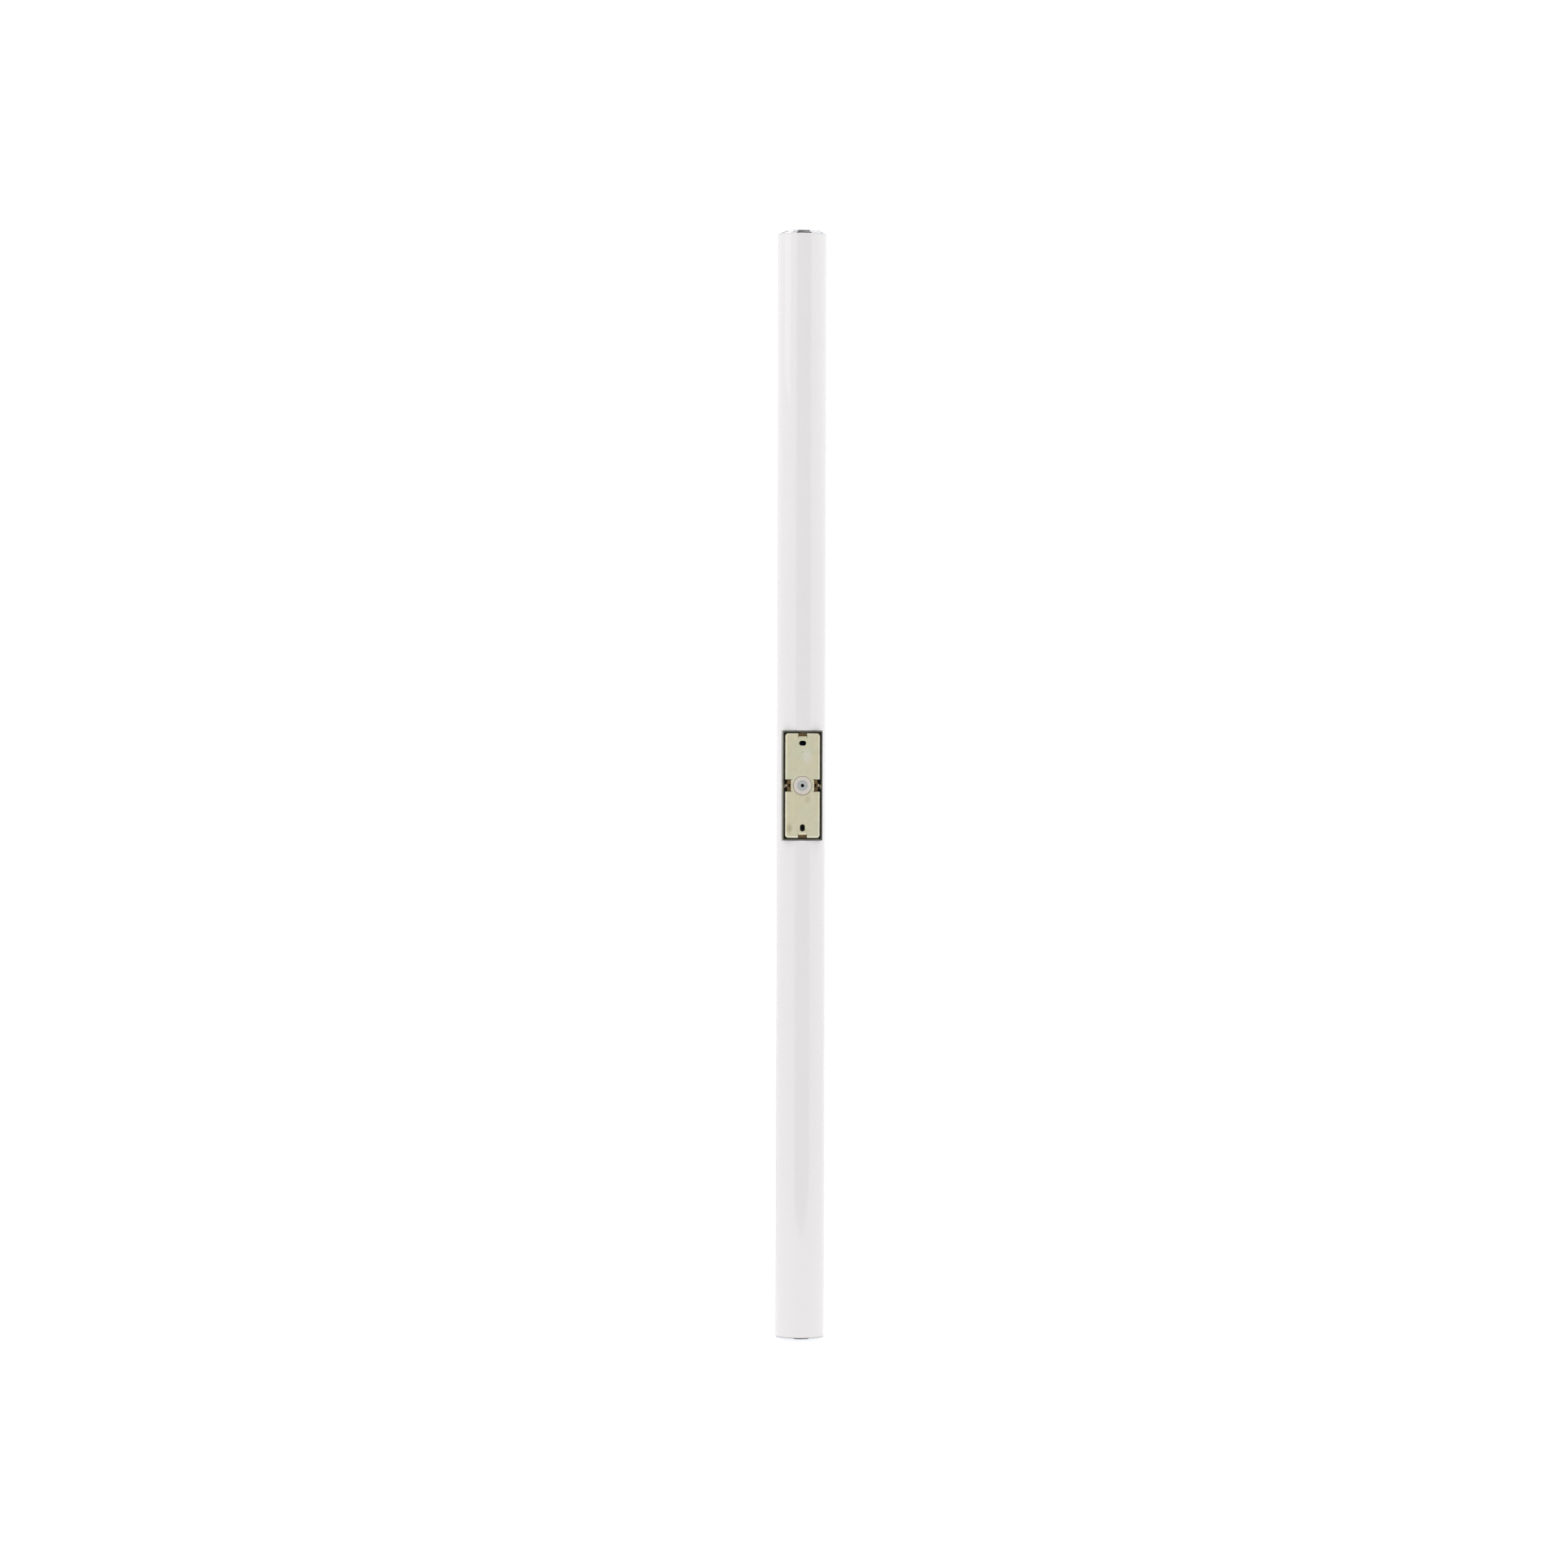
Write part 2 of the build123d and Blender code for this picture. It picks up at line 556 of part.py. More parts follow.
def earth_screw():
    """Earth screw through the ring and into the housing's floor, flush with the floor's front."""
    return screw(M4, FLOOR_BACK - EARTH_RING, EARTH_X, EARTH_Z, EARTH_RING + SHEET)


def earth_ring():
    """Crimped ring terminal under the earth screw, with its barrel towards the terminal block."""
    ring = rod(EARTH_RING_R, "Y", (FLOOR_BACK - EARTH_RING, FLOOR_BACK), (EARTH_X, EARTH_Z))
    half = EARTH_TONGUE[0] / 2
    tongue = (EARTH_TONGUE_END, EARTH_Z)
    ring += block((EARTH_X - half, EARTH_X + half), (FLOOR_BACK - EARTH_RING, FLOOR_BACK), tongue)
    barrel = (EARTH_BARREL_END, EARTH_BARREL_END + EARTH_BARREL[0])
    ring += rod(MAINS_LEAD_R + EARTH_BARREL[1], "Z", barrel, (EARTH_X, EARTH_BARREL_Y))
    hole = (FLOOR_BACK - EARTH_RING - OVERCUT, FLOOR_BACK + OVERCUT)
    return ring - rod(M4[0], "Y", hole, (EARTH_X, EARTH_Z))


def lead_bush():
    """Bush in the housing's upper wall, with one hole for each mains lead."""
    at = (LEAD_BUSH_X, LEAD_Y)
    wall = (HOUSING_TOP - SHEET, HOUSING_TOP)
    body = rod(LEAD_BUSH_R, "Z", wall, at)
    flange = LEAD_BUSH_R + LEAD_BUSH_LIP
    body += rod(flange, "Z", (wall[0] - LEAD_BUSH_LIP, wall[0]), at)
    body += rod(flange, "Z", (wall[1], wall[1] + LEAD_BUSH_LIP), at)
    through = (wall[0] - LEAD_BUSH_LIP - OVERCUT, wall[1] + LEAD_BUSH_LIP + OVERCUT)
    for x in mains_lead_places():
        body -= rod(MAINS_LEAD_R, "Z", through, (x, LEAD_Y))
    return body


def mains_lead_places():
    """The X of the neutral and live leads in the bush."""
    return [LEAD_BUSH_X - LEAD_PITCH / 2, LEAD_BUSH_X + LEAD_PITCH / 2]


def mains_lead(pole_x, bush_x):
    """A lead from its pole up through the bush to the driver."""
    straight = TERMINAL_TOP + LEAD_STRAIGHT
    bush_z = HOUSING_TOP - SHEET - 3 * LEAD_BUSH_LIP
    route = [
        (pole_x, LEAD_Y, TERMINAL_TOP),
        (pole_x, LEAD_Y, straight),
        (bush_x, LEAD_Y, bush_z),
        (bush_x, LEAD_Y, DRIVER_START),
    ]
    return lead(MAINS_LEAD_R, route, MAINS_TURN)


def earth_lead():
    """The lead from the earth pole to the ring's barrel."""
    straight = (EARTH_BARREL_END - TERMINAL_TOP) / 4
    pole_x = pole_places()[0]
    route = [
        (pole_x, LEAD_Y, TERMINAL_TOP),
        (pole_x, LEAD_Y, TERMINAL_TOP + straight),
        (EARTH_X, EARTH_BARREL_Y, EARTH_BARREL_END - straight),
        (EARTH_X, EARTH_BARREL_Y, EARTH_BARREL_END),
    ]
    return lead(MAINS_LEAD_R, route, EARTH_TURN)


# ---- Tube, caps, plugs and seals ----
def diffuser_tube():
    """Extruded tube with a window in its back for the housing."""
    body = rod(TUBE_R, "Z", (-TUBE_END, TUBE_END), (0, AXIS_Y))
    body -= rod(BORE_R, "Z", (-TUBE_END - OVERCUT, TUBE_END + OVERCUT), (0, AXIS_Y))
    half_width = HOUSING_WIDTH / 2 + WINDOW_GAP
    half_height = HOUSING_HEIGHT / 2 + WINDOW_GAP
    window = block((-half_width, half_width), (-OVERCUT, AXIS_Y), (-half_height, half_height))
    return body - window


def end_cap():
    """Upper cap: a rim as wide as the tube, a raised disc on it, and a skirt that snaps in the plug."""
    top = TUBE_END + CAP_RIM + CAP_DISC
    inner_r = SKIRT_R - CAP_WALL
    skirt_end = TUBE_END - CAP_SKIRT
    outline = [
        (0, top),
        (CAP_DISC_R, top),
        (CAP_DISC_R, TUBE_END + CAP_RIM),
        (TUBE_R, TUBE_END + CAP_RIM),
        (TUBE_R, TUBE_END),
        (SKIRT_R, TUBE_END),
        (SKIRT_R, skirt_end),
        (inner_r, skirt_end),
        (inner_r, top - CAP_RIM),
        (0, top - CAP_RIM),
    ]
    rounds = plain(outline)
    rounds[1] = CAP_DISC_ROUND
    rounds[3] = CAP_RIM_ROUND
    rounds[6] = CAP_WALL / 4
    return turned(outline, rounds, AXIS_Y)


def end_plug():
    """Upper plug: fits the bore, carries the seal in a groove, and takes the cap's skirt in its pocket."""
    groove_r = BORE_R - 2 * SEAL_R + SEAL_SQUEEZE
    groove = (PLUG_INNER + SEAL_FROM_INNER_FACE, PLUG_INNER + SEAL_FROM_INNER_FACE + SEAL_GROOVE)
    outline = [
        (0, POCKET_FLOOR),
        (POCKET_R, POCKET_FLOOR),
        (POCKET_R, PLUG_FACE),
        (PLUG_R, PLUG_FACE),
        (PLUG_R, groove[1]),
        (groove_r, groove[1]),
        (groove_r, groove[0]),
        (PLUG_R, groove[0]),
        (PLUG_R, PLUG_INNER),
        (0, PLUG_INNER),
    ]
    body = turned(outline, plain(outline), AXIS_Y)
    for x in (-PORT_X, PORT_X):
        body -= rod(PORT_R, "Z", (PLUG_INNER - OVERCUT, POCKET_FLOOR + OVERCUT), (x, PORT_LINE_Y))
    return body


def seal_ring():
    """Upper O-ring."""
    return Pos(0, AXIS_Y, SEAL_Z) * Torus(SEAL_CENTRE_R, SEAL_R)


def plug_screws():
    """Self-tapping screws through the plugs into the carrier's screw ports."""
    thread_r, head_r, head = PLUG_SCREW
    upper = []
    for x in (-PORT_X, PORT_X):
        top = rod(head_r, "Z", (POCKET_FLOOR, POCKET_FLOOR + head), (x, PORT_LINE_Y))
        top = fillet(top.edges().sort_by(Axis.Z)[-1], head * HEAD_ROUND)
        arm = 2 * head_r * DRIVE_ARM
        width = 2 * head_r * DRIVE_WIDTH
        recess = Box(arm, width, head) + Box(width, arm, head)
        top -= Pos(x, PORT_LINE_Y, POCKET_FLOOR + head) * recess
        upper.append(top + rod(thread_r, "Z", (PLUG_INNER - PLUG_SCREW_BITE, POCKET_FLOOR), (x, PORT_LINE_Y)))
    return upper + [mirror(s, Plane.XY) for s in upper]


# ---- Carrier, boards and LEDs ----
def led_carrier():
    """Extruded spine: a web, and two rails with screw ports."""
    ends = (-PLUG_INNER, PLUG_INNER)
    body = block((-WEB_HALF, WEB_HALF), (FLOOR_FRONT, WEB_FRONT), ends)
    for x in (-PORT_X, PORT_X):
        rail_x = (x - RAIL_WIDTH / 2, x + RAIL_WIDTH / 2)
        body += block(rail_x, (WEB_FRONT, WEB_FRONT + RAIL_HEIGHT), ends)
    for x in (-PORT_X, PORT_X):
        body -= rod(PORT_R, "Z", (ends[0] - OVERCUT, ends[1] + OVERCUT), (x, PORT_LINE_Y))
    for x, z in housing_screw_places():
        body -= rod(M4[0], "Y", (FLOOR_FRONT - OVERCUT, HOUSING_SCREW_END), (x, z))
    web = (FLOOR_FRONT - OVERCUT, WEB_FRONT + OVERCUT)
    for z in board_screw_heights():
        body -= rod(M3[0], "Y", web, (BOARD_SCREW_X, z))
    for z in driver_screw_heights():
        body -= rod(M3[0], "Y", (FLOOR_FRONT - OVERCUT, WEB_FRONT - SCREW_TIP_GAP), (0, z))
    return body - rod(FEED_HOLE_R, "Y", web, (PLUG_BLOCK_X, FEED_Z))


def carrier_clip():
    """Clip on the carrier's +X edge, which keeps it central in the tube's bore."""
    low_y = FLOOR_FRONT - CLIP_WALL
    high_y = WEB_FRONT + CLIP_WALL
    inner_x = WEB_HALF - CLIP_GRIP
    blank = block((inner_x, BORE_R), (low_y, high_y), (-CLIP_LENGTH / 2, CLIP_LENGTH / 2))
    blank &= rod(BORE_R - CLIP_PLAY, "Z", (-CLIP_LENGTH, CLIP_LENGTH), (0, AXIS_Y))
    rail_side = PORT_X + RAIL_WIDTH / 2 + CLIP_PLAY
    room = (FLOOR_FRONT, WEB_FRONT)
    blank -= block((inner_x - OVERCUT, WEB_HALF), room, (-CLIP_LENGTH, CLIP_LENGTH))
    over_rail = (WEB_FRONT, high_y + OVERCUT)
    return blank - block((inner_x - OVERCUT, rail_side), over_rail, (-CLIP_LENGTH, CLIP_LENGTH))


def carrier_clips():
    """Clips along both edges, evenly spaced about the middle."""
    pair = both_sides(carrier_clip())
    heights = [(i - (CLIP_ROWS - 1) / 2) * CLIP_SPACING for i in range(CLIP_ROWS)]
    return [Pos(0, 0, z) * clip for z in heights for clip in pair]


def board_screw_heights():
    """The Z of the screws of both boards."""
    first = BOARD_JOINT + BOARD_SCREW_INSET
    upper = [first + i * BOARD_SCREW_STEP for i in range(BOARD_SCREWS)]
    return upper + [-z for z in upper]


def led_board(sign):
    """A board above (sign 1) or below (sign -1) the middle, in front of the carrier's web."""
    ends = sorted((sign * BOARD_JOINT, sign * (BOARD_JOINT + BOARD_LENGTH)))
    body = block((-BOARD_WIDTH / 2, BOARD_WIDTH / 2), (WEB_FRONT, BOARD_FRONT), ends)
    through = (WEB_FRONT - OVERCUT, BOARD_FRONT + OVERCUT)
    for z in board_screw_heights():
        if z * sign > 0:
            body -= rod(M3[0] + HOLE_PLAY, "Y", through, (BOARD_SCREW_X, z))
    if sign > 0:
        body -= rod(FEED_HOLE_R, "Y", through, (PLUG_BLOCK_X, FEED_Z))
    return body


def led_chips(sign):
    """The row of LED packages on one board."""
    wide, high, long = LED_SIZE
    chip = block((-wide / 2, wide / 2), (BOARD_FRONT, BOARD_FRONT + high), (-long / 2, long / 2))
    return [Pos(0, 0, sign * (BOARD_JOINT + LED_FIRST + i * LED_PITCH)) * chip for i in range(LED_COUNT)]


def board_screws():
    """Screws that hold the boards to the carrier."""
    length = BOARD + WEB - SCREW_TIP_GAP
    return [front_screw(M3, BOARD_FRONT, BOARD_SCREW_X, z, length) for z in board_screw_heights()]


def board_connectors():
    """The feed connector and the two connectors at the boards' joint."""
    wide, high, long = PLUG_BLOCK
    x = (PLUG_BLOCK_X - wide / 2, PLUG_BLOCK_X + wide / 2)
    y = (BOARD_FRONT, BOARD_FRONT + high)
    start = PLUG_BLOCK_START
    spans = [(FEED_PLUG_TOP - long, FEED_PLUG_TOP), (start, start + long), (-start - long, -start)]
    return [block(x, y, z) for z in spans]


def board_link():
    """Two short wires across the boards' joint."""
    span = (-PLUG_BLOCK_START, PLUG_BLOCK_START)
    return [rod(LED_LEAD_R, "Z", span, (x, LINK_Y)) for x in led_lead_places()]


def led_lead_places():
    """The X of the positive and negative leads to the LED boards."""
    return [PLUG_BLOCK_X - LED_LEAD_PITCH / 2, PLUG_BLOCK_X + LED_LEAD_PITCH / 2]


def led_lead(x):
    """A lead from the driver, through the carrier and the board, to the feed connector."""
    route = [
        (x, LEAD_Y, DRIVER_END),
        (x, LEAD_Y, FEED_Z),
        (x, LINK_Y, FEED_Z),
        (x, LINK_Y, FEED_PLUG_TOP),
    ]
    return lead(LED_LEAD_R, route, FEED_TURNS)


# ---- Driver ----
def driver_screw_heights():
    """The Z of the screws in the driver's two ears."""
    return [DRIVER_START - DRIVER_EAR / 2, DRIVER_END + DRIVER_EAR / 2]


def driver_base():
    """Base plate with an ear at each end, flat on the back of the carrier."""
    half = DRIVER_WIDTH / 2
    y = (DRIVER_BASE_BACK, FLOOR_FRONT)
    body = block((-half, half), y, (DRIVER_START, DRIVER_END))
    body += block((-DRIVER_EAR / 2, DRIVER_EAR / 2), y, (DRIVER_START - DRIVER_EAR, DRIVER_END + DRIVER_EAR))
    for z in driver_screw_heights():
        body -= rod(M3[0] + HOLE_PLAY, "Y", (y[0] - OVERCUT, y[1] + OVERCUT), (0, z))
    return body


def driver_cover():
    """Box-shaped cover, open towards the base plate."""
    half = DRIVER_WIDTH / 2
    body = block((-half, half), (DRIVER_BACK, DRIVER_BASE_BACK), (DRIVER_START, DRIVER_END))
    body = fillet(body.edges().group_by(Axis.Y)[0] + body.edges().filter_by(Axis.Y), DRIVER_ROUND)
    inner = half - DRIVER_WALL
    hollow_z = (DRIVER_START + DRIVER_WALL, DRIVER_END - DRIVER_WALL)
    body -= block((-inner, inner), (DRIVER_BACK + DRIVER_WALL, DRIVER_BASE_BACK + OVERCUT), hollow_z)
    return body


def driver_board():
    """Circuit board inside the cover, close to the base plate."""
    inset = DRIVER_WALL + DRIVER_PLAY
    half = DRIVER_WIDTH / 2 - inset
    y = (COMPONENT_Y, COMPONENT_Y + DRIVER_BOARD)
    return block((-half, half), y, (DRIVER_START + inset, DRIVER_END - inset))


def driver_transformer():
    """Transformer core: a middle leg and two outer legs, joined at both ends."""
    wide, high, long = CORE
    z = DRIVER_START + DRIVER_LENGTH * CORE_SHARE
    core = block((-wide / 2, wide / 2), (COMPONENT_Y - high, COMPONENT_Y), (z - long / 2, z + long / 2))
    window = block(
        (CORE_MIDDLE / 2, wide / 2 - CORE_OUTER),
        (COMPONENT_Y - high - OVERCUT, COMPONENT_Y + OVERCUT),
        (z - long / 2 + CORE_END, z + long / 2 - CORE_END),
    )
    for cut in both_sides(window):
        core -= cut
    return core


def driver_capacitors():
    """Two electrolytic capacitors that lie along the board."""
    can = rod(CAN_R, "Z", (-CAN_LENGTH / 2, CAN_LENGTH / 2), (CAN_X, COMPONENT_Y - CAN_R))
    can = chamfer(can.edges().filter_by(GeomType.CIRCLE), CAN_CHAMFER)
    return [Pos(0, 0, DRIVER_START + DRIVER_LENGTH * share) * can for share in CAN_SHARES]


def driver_coil():
    """Toroidal input choke, lying on the board."""
    z = DRIVER_START + DRIVER_LENGTH * COIL_SHARE
    return Pos(0, COMPONENT_Y - COIL_THICK_R - COIL_LIFT, z) * Rot(90, 0, 0) * Torus(COIL_R, COIL_THICK_R)


def driver_screws():
    """Screws through the driver's ears into the carrier's web, short of the LED boards."""
    length = DRIVER_BASE + WEB - SCREW_TIP_GAP
    return [screw(M3, DRIVER_BASE_BACK, 0, z, length) for z in driver_screw_heights()]


# ---- Every piece, by the name of its file ----
def main():
    """Builds each piece and writes it."""
    os.makedirs("parts", exist_ok=True)
    cap = end_cap()
    plug = end_plug()
    seal = seal_ring()
    screw_right = lock_screw()
    pad_right = lock_pad()
    bush_x = mains_lead_places()
    poles = pole_places()
    led_x = led_lead_places()
    pieces = {
        "wall_bracket": wall_bracket(),
        "cable_grommet": cable_grommet(),
        "mount_housing": mount_housing(),
        "lock_bushes": both_sides(lock_bush()),
        "lock_screw_right": screw_right,
        "lock_screw_left": mirror(screw_right, Plane.YZ),
        "lock_pad_right": pad_right,
        "lock_pad_left": mirror(pad_right, Plane.YZ),
        "housing_screws": housing_screws(),
        "diffuser_tube": diffuser_tube(),
        "top_end_cap": cap,
        "bottom_end_cap": mirror(cap, Plane.XY),
        "top_end_plug": plug,
        "bottom_end_plug": mirror(plug, Plane.XY),
        "top_seal_ring": seal,
        "bottom_seal_ring": mirror(seal, Plane.XY),
        "plug_screws": plug_screws(),
        "led_carrier": led_carrier(),
        "carrier_clips": carrier_clips(),
        "led_board_upper": led_board(1),
        "led_board_lower": led_board(-1),
        "led_chips_upper": led_chips(1),
        "led_chips_lower": led_chips(-1),
        "board_screws": board_screws(),
        "board_connectors": board_connectors(),
        "board_link": board_link(),
        "driver_base": driver_base(),
        "driver_cover": driver_cover(),
        "driver_board": driver_board(),
        "driver_transformer": driver_transformer(),
        "driver_capacitors": driver_capacitors(),
        "driver_coil": driver_coil(),
        "driver_screws": driver_screws(),
        "terminal_block": terminal_block(),
        "terminal_screws": terminal_screws(),
        "earth_screw": earth_screw(),
        "earth_ring": earth_ring(),
        "lead_bush": lead_bush(),
        "neutral_lead": mains_lead(poles[1], bush_x[0]),
        "live_lead": mains_lead(poles[2], bush_x[1]),
        "earth_lead": earth_lead(),
        "led_lead_positive": led_lead(led_x[0]),
        "led_lead_negative": led_lead(led_x[1]),
    }
    for name, shape in pieces.items():
        save(shape, name)


main()
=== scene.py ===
"""Looks of a tubular LED wall light that hangs on its wall bracket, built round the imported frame.

Metres, in the frame's own axes: the wall is Y = 0, +Y points into the room and +Z is up along the tube.
"""

import math

import bmesh
import bpy
import numpy as np
from bpy.props import FloatProperty, FloatVectorProperty, IntProperty, PointerProperty
from mathutils import Matrix, Vector


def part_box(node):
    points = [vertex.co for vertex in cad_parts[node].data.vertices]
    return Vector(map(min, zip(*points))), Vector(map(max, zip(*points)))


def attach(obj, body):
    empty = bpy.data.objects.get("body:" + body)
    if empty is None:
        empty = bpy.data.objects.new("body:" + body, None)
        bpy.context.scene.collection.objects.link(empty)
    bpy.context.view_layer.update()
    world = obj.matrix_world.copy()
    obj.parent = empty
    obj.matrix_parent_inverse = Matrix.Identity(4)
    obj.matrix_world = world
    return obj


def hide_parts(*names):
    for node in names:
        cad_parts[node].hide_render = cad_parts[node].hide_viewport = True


bl_info = {
    "name": "Tubular wall light",
    "version": (1, 0, 0),
    "blender": (4, 5, 0),
    "location": "3D View > Sidebar > Wall light",
    "description": "Surfaces and finishes of a tubular LED wall light with a recessed mount",
    "category": "Object",
}

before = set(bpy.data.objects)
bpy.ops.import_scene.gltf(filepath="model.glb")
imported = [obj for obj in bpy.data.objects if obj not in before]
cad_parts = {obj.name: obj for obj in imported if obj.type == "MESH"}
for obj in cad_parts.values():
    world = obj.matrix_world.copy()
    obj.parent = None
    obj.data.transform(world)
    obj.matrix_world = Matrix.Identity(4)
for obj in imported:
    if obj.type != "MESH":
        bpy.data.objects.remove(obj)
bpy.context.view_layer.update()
MM = 0.001
TURN = 2 * math.pi
WELD = 1e-6
SHARP = math.radians(32)
HALF = 0.5
WHITE = (1.0, 1.0, 1.0, 1.0)
SHARE, FIRST, SECOND, MIXED = 0, 6, 7, 2  # a Mix node's sockets for colours: share, both colours and result
FAR = 1.0  # a reach past every piece, for patterns that ignore an axis


# ---- Small tools ----
def linear(code):
    """An sRGB hex value such as #d9d4b8 as linear red, green, blue and full alpha."""
    parts = [int(code[i : i + 2], 16) / 255 for i in (1, 3, 5)]
    return tuple(c / 12.92 if c <= 0.04045 else ((c + 0.055) / 1.055) ** 2.4 for c in parts) + (1.0,)


def low(name):
    """Lowest corner of a CAD node."""
    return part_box(name)[0]


def high(name):
    """Highest corner of a CAD node."""
    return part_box(name)[1]


def node(tree, kind, inputs=None, **settings):
    """Adds a node. Settings are its properties; inputs are values, or sockets to link from."""
    made = tree.nodes.new(kind)
    for key, value in settings.items():
        setattr(made, key, value)
    for key, value in (inputs or {}).items():
        if isinstance(value, bpy.types.NodeSocket):
            tree.links.new(value, made.inputs[key])
        else:
            made.inputs[key].default_value = value
    return made


def grid_faces(rows, cols, wrap=False):
    """Quads between neighbouring points of a grid; wrap joins its last column to its first."""
    i = np.arange(rows - 1)[:, None]
    j = np.arange(cols if wrap else cols - 1)[None, :]
    k = (j + 1) % cols
    corners = [i * cols + j, i * cols + k, (i + 1) * cols + k, (i + 1) * cols + j]
    return np.stack(corners, -1).reshape(-1, 4)


def sheet(points, wrap=False):
    """A grid of points, rows by columns by XYZ, as a shell of points and quads."""
    rows, cols = points.shape[:2]
    return points.reshape(-1, 3), grid_faces(rows, cols, wrap)


def rounded(outline, radii, steps=6):
    """An outline of straight runs whose corners become arcs tangent to both runs.

    The arc's centre lies on the corner's bisector, at the radius over the sine of half the corner's angle.
    """
    outline = np.asarray(outline, float)
    parts = [outline[:1]]
    for before, corner, after, radius in zip(outline, outline[1:], outline[2:], radii):
        if radius <= 0:
            parts.append(corner[None])
            continue
        back = (before - corner) / np.linalg.norm(before - corner)
        on = (after - corner) / np.linalg.norm(after - corner)
        half = math.acos(np.clip(back @ on, -1, 1)) / 2
        centre = corner + (back + on) / np.linalg.norm(back + on) * radius / math.sin(half)
        first = corner + back * radius / math.tan(half) - centre
        last = corner + on * radius / math.tan(half) - centre
        sweep = math.pi - 2 * half
        t = np.linspace(0, 1, steps + 1)[:, None]
        arc = (np.sin((1 - t) * sweep) * first + np.sin(t * sweep) * last) / math.sin(sweep)
        parts.append(centre + arc)
    parts.append(outline[-1:])
    return np.concatenate(parts)


def turned(profile, axis, centre, columns):
    """A surface of revolution: radius times the angle's cosine and sine, at each point's place on the axis.

    The profile's rows are (radius, place); a radius may also be one value per column.
    """
    angle = np.linspace(0, TURN, columns, endpoint=False)
    radius = np.stack([np.broadcast_to(r, angle.shape) for r, _ in profile])
    along = np.array([a for _, a in profile])[:, None] + 0 * angle
    u = centre[0] + radius * np.cos(angle)
    v = centre[1] + radius * np.sin(angle)
    order = {"X": (along, u, v), "Y": (u, along, v), "Z": (u, v, along)}[axis]
    return sheet(np.stack(order, -1), wrap=True)


def piece(name, shells, body, material, replaced=()):
    """One object from shells: seams are welded, faces turned outwards and only real edges kept sharp."""
    start = np.cumsum([0] + [len(points) for points, _ in shells])
    points = np.concatenate([points for points, _ in shells])
    faces = np.concatenate([quads + first for (_, quads), first in zip(shells, start)])
    mesh = bpy.data.meshes.new(name)
    mesh.from_pydata(points.tolist(), [], faces.tolist())
    work = bmesh.new()
    work.from_mesh(mesh)
    bmesh.ops.remove_doubles(work, verts=work.verts, dist=WELD)
    bmesh.ops.recalc_face_normals(work, faces=work.faces)
    work.to_mesh(mesh)
    work.free()
    mesh.shade_smooth()
    mesh.set_sharp_from_angle(angle=SHARP)
    mesh.materials.append(material)
    made = bpy.data.objects.new(name, mesh)
    bpy.context.scene.collection.objects.link(made)
    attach(made, body)
    if replaced:
        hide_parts(*replaced)
    return made


def soften(made, width):
    """Breaks an object's sharp edges with a small two-step rounding."""
    bevel = made.modifiers.new("edge break", "BEVEL")
    bevel.width = width
    bevel.segments = 2
    bevel.limit_method = "ANGLE"
    bevel.angle_limit = SHARP
    bevel.harden_normals = True


def paint(names, material):
    """Gives CAD nodes a finish in place of the plain one that they came with."""
    for name in names:
        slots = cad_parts[name].material_slots
        for entry in slots:
            entry.material = material


# ---- Finishes ----
def finish(name, **sockets):
    """Starts a material: a shader with its constant sockets set, and the object's own coordinates."""
    made = bpy.data.materials.new(name)
    made.use_nodes = True
    tree = made.node_tree
    tree.nodes.clear()
    inputs = {key.replace("_", " "): value for key, value in sockets.items()}
    shader = node(tree, "ShaderNodeBsdfPrincipled", inputs)
    node(tree, "ShaderNodeOutputMaterial", {"Surface": shader.outputs["BSDF"]})
    place = node(tree, "ShaderNodeTexCoord").outputs["Object"]
    return made, tree, shader, place


def mottled(tree, place, size, stretch=(1.0, 1.0, 1.0), detail=3.0, spread=0.15):
    """Blotches of a real size in metres, from 0 to 1: noise spread about its middle value."""
    moved = node(tree, "ShaderNodeMapping", {"Vector": place, "Scale": stretch}).outputs["Vector"]
    noise = node(tree, "ShaderNodeTexNoise", {"Vector": moved, "Scale": 1 / size, "Detail": detail})
    limits = {"Value": noise.outputs["Fac"], "From Min": HALF - spread, "From Max": HALF + spread}
    return node(tree, "ShaderNodeMapRange", limits).outputs["Result"]


def reaching(tree, place, centre, size, full, none, torn=None):
    """A patch that is 1 within the share full of its size from its centre and 0 beyond the share none.

    The distance is the length of the place less the centre, over the size along each axis.
    """
    spot = {"Vector": place, "Location": centre, "Scale": size}
    moved = node(tree, "ShaderNodeMapping", spot, vector_type="TEXTURE").outputs["Vector"]
    reach = node(tree, "ShaderNodeVectorMath", {0: moved}, operation="LENGTH").outputs["Value"]
    if torn is not None:
        reach = node(tree, "ShaderNodeMath", {0: reach, 1: torn}, operation="ADD").outputs["Value"]
    limits = {"Value": reach, "From Min": full, "From Max": none, "To Min": 1.0, "To Max": 0.0}
    return node(tree, "ShaderNodeMapRange", limits).outputs["Result"]


def past(tree, place, corner):
    """How far a place is past a rectangle round the Y axis: the greater of its X and Z less the corner's."""
    apart = node(tree, "ShaderNodeVectorMath", {0: place}, operation="ABSOLUTE").outputs["Vector"]
    beyond = {0: apart, 1: (corner.x, 0.0, corner.z)}
    beyond = node(tree, "ShaderNodeVectorMath", beyond, operation="SUBTRACT").outputs["Vector"]
    parts = node(tree, "ShaderNodeSeparateXYZ", {"Vector": beyond})
    greater = {0: parts.outputs["X"], 1: parts.outputs["Z"]}
    return node(tree, "ShaderNodeMath", greater, operation="MAXIMUM").outputs["Value"]


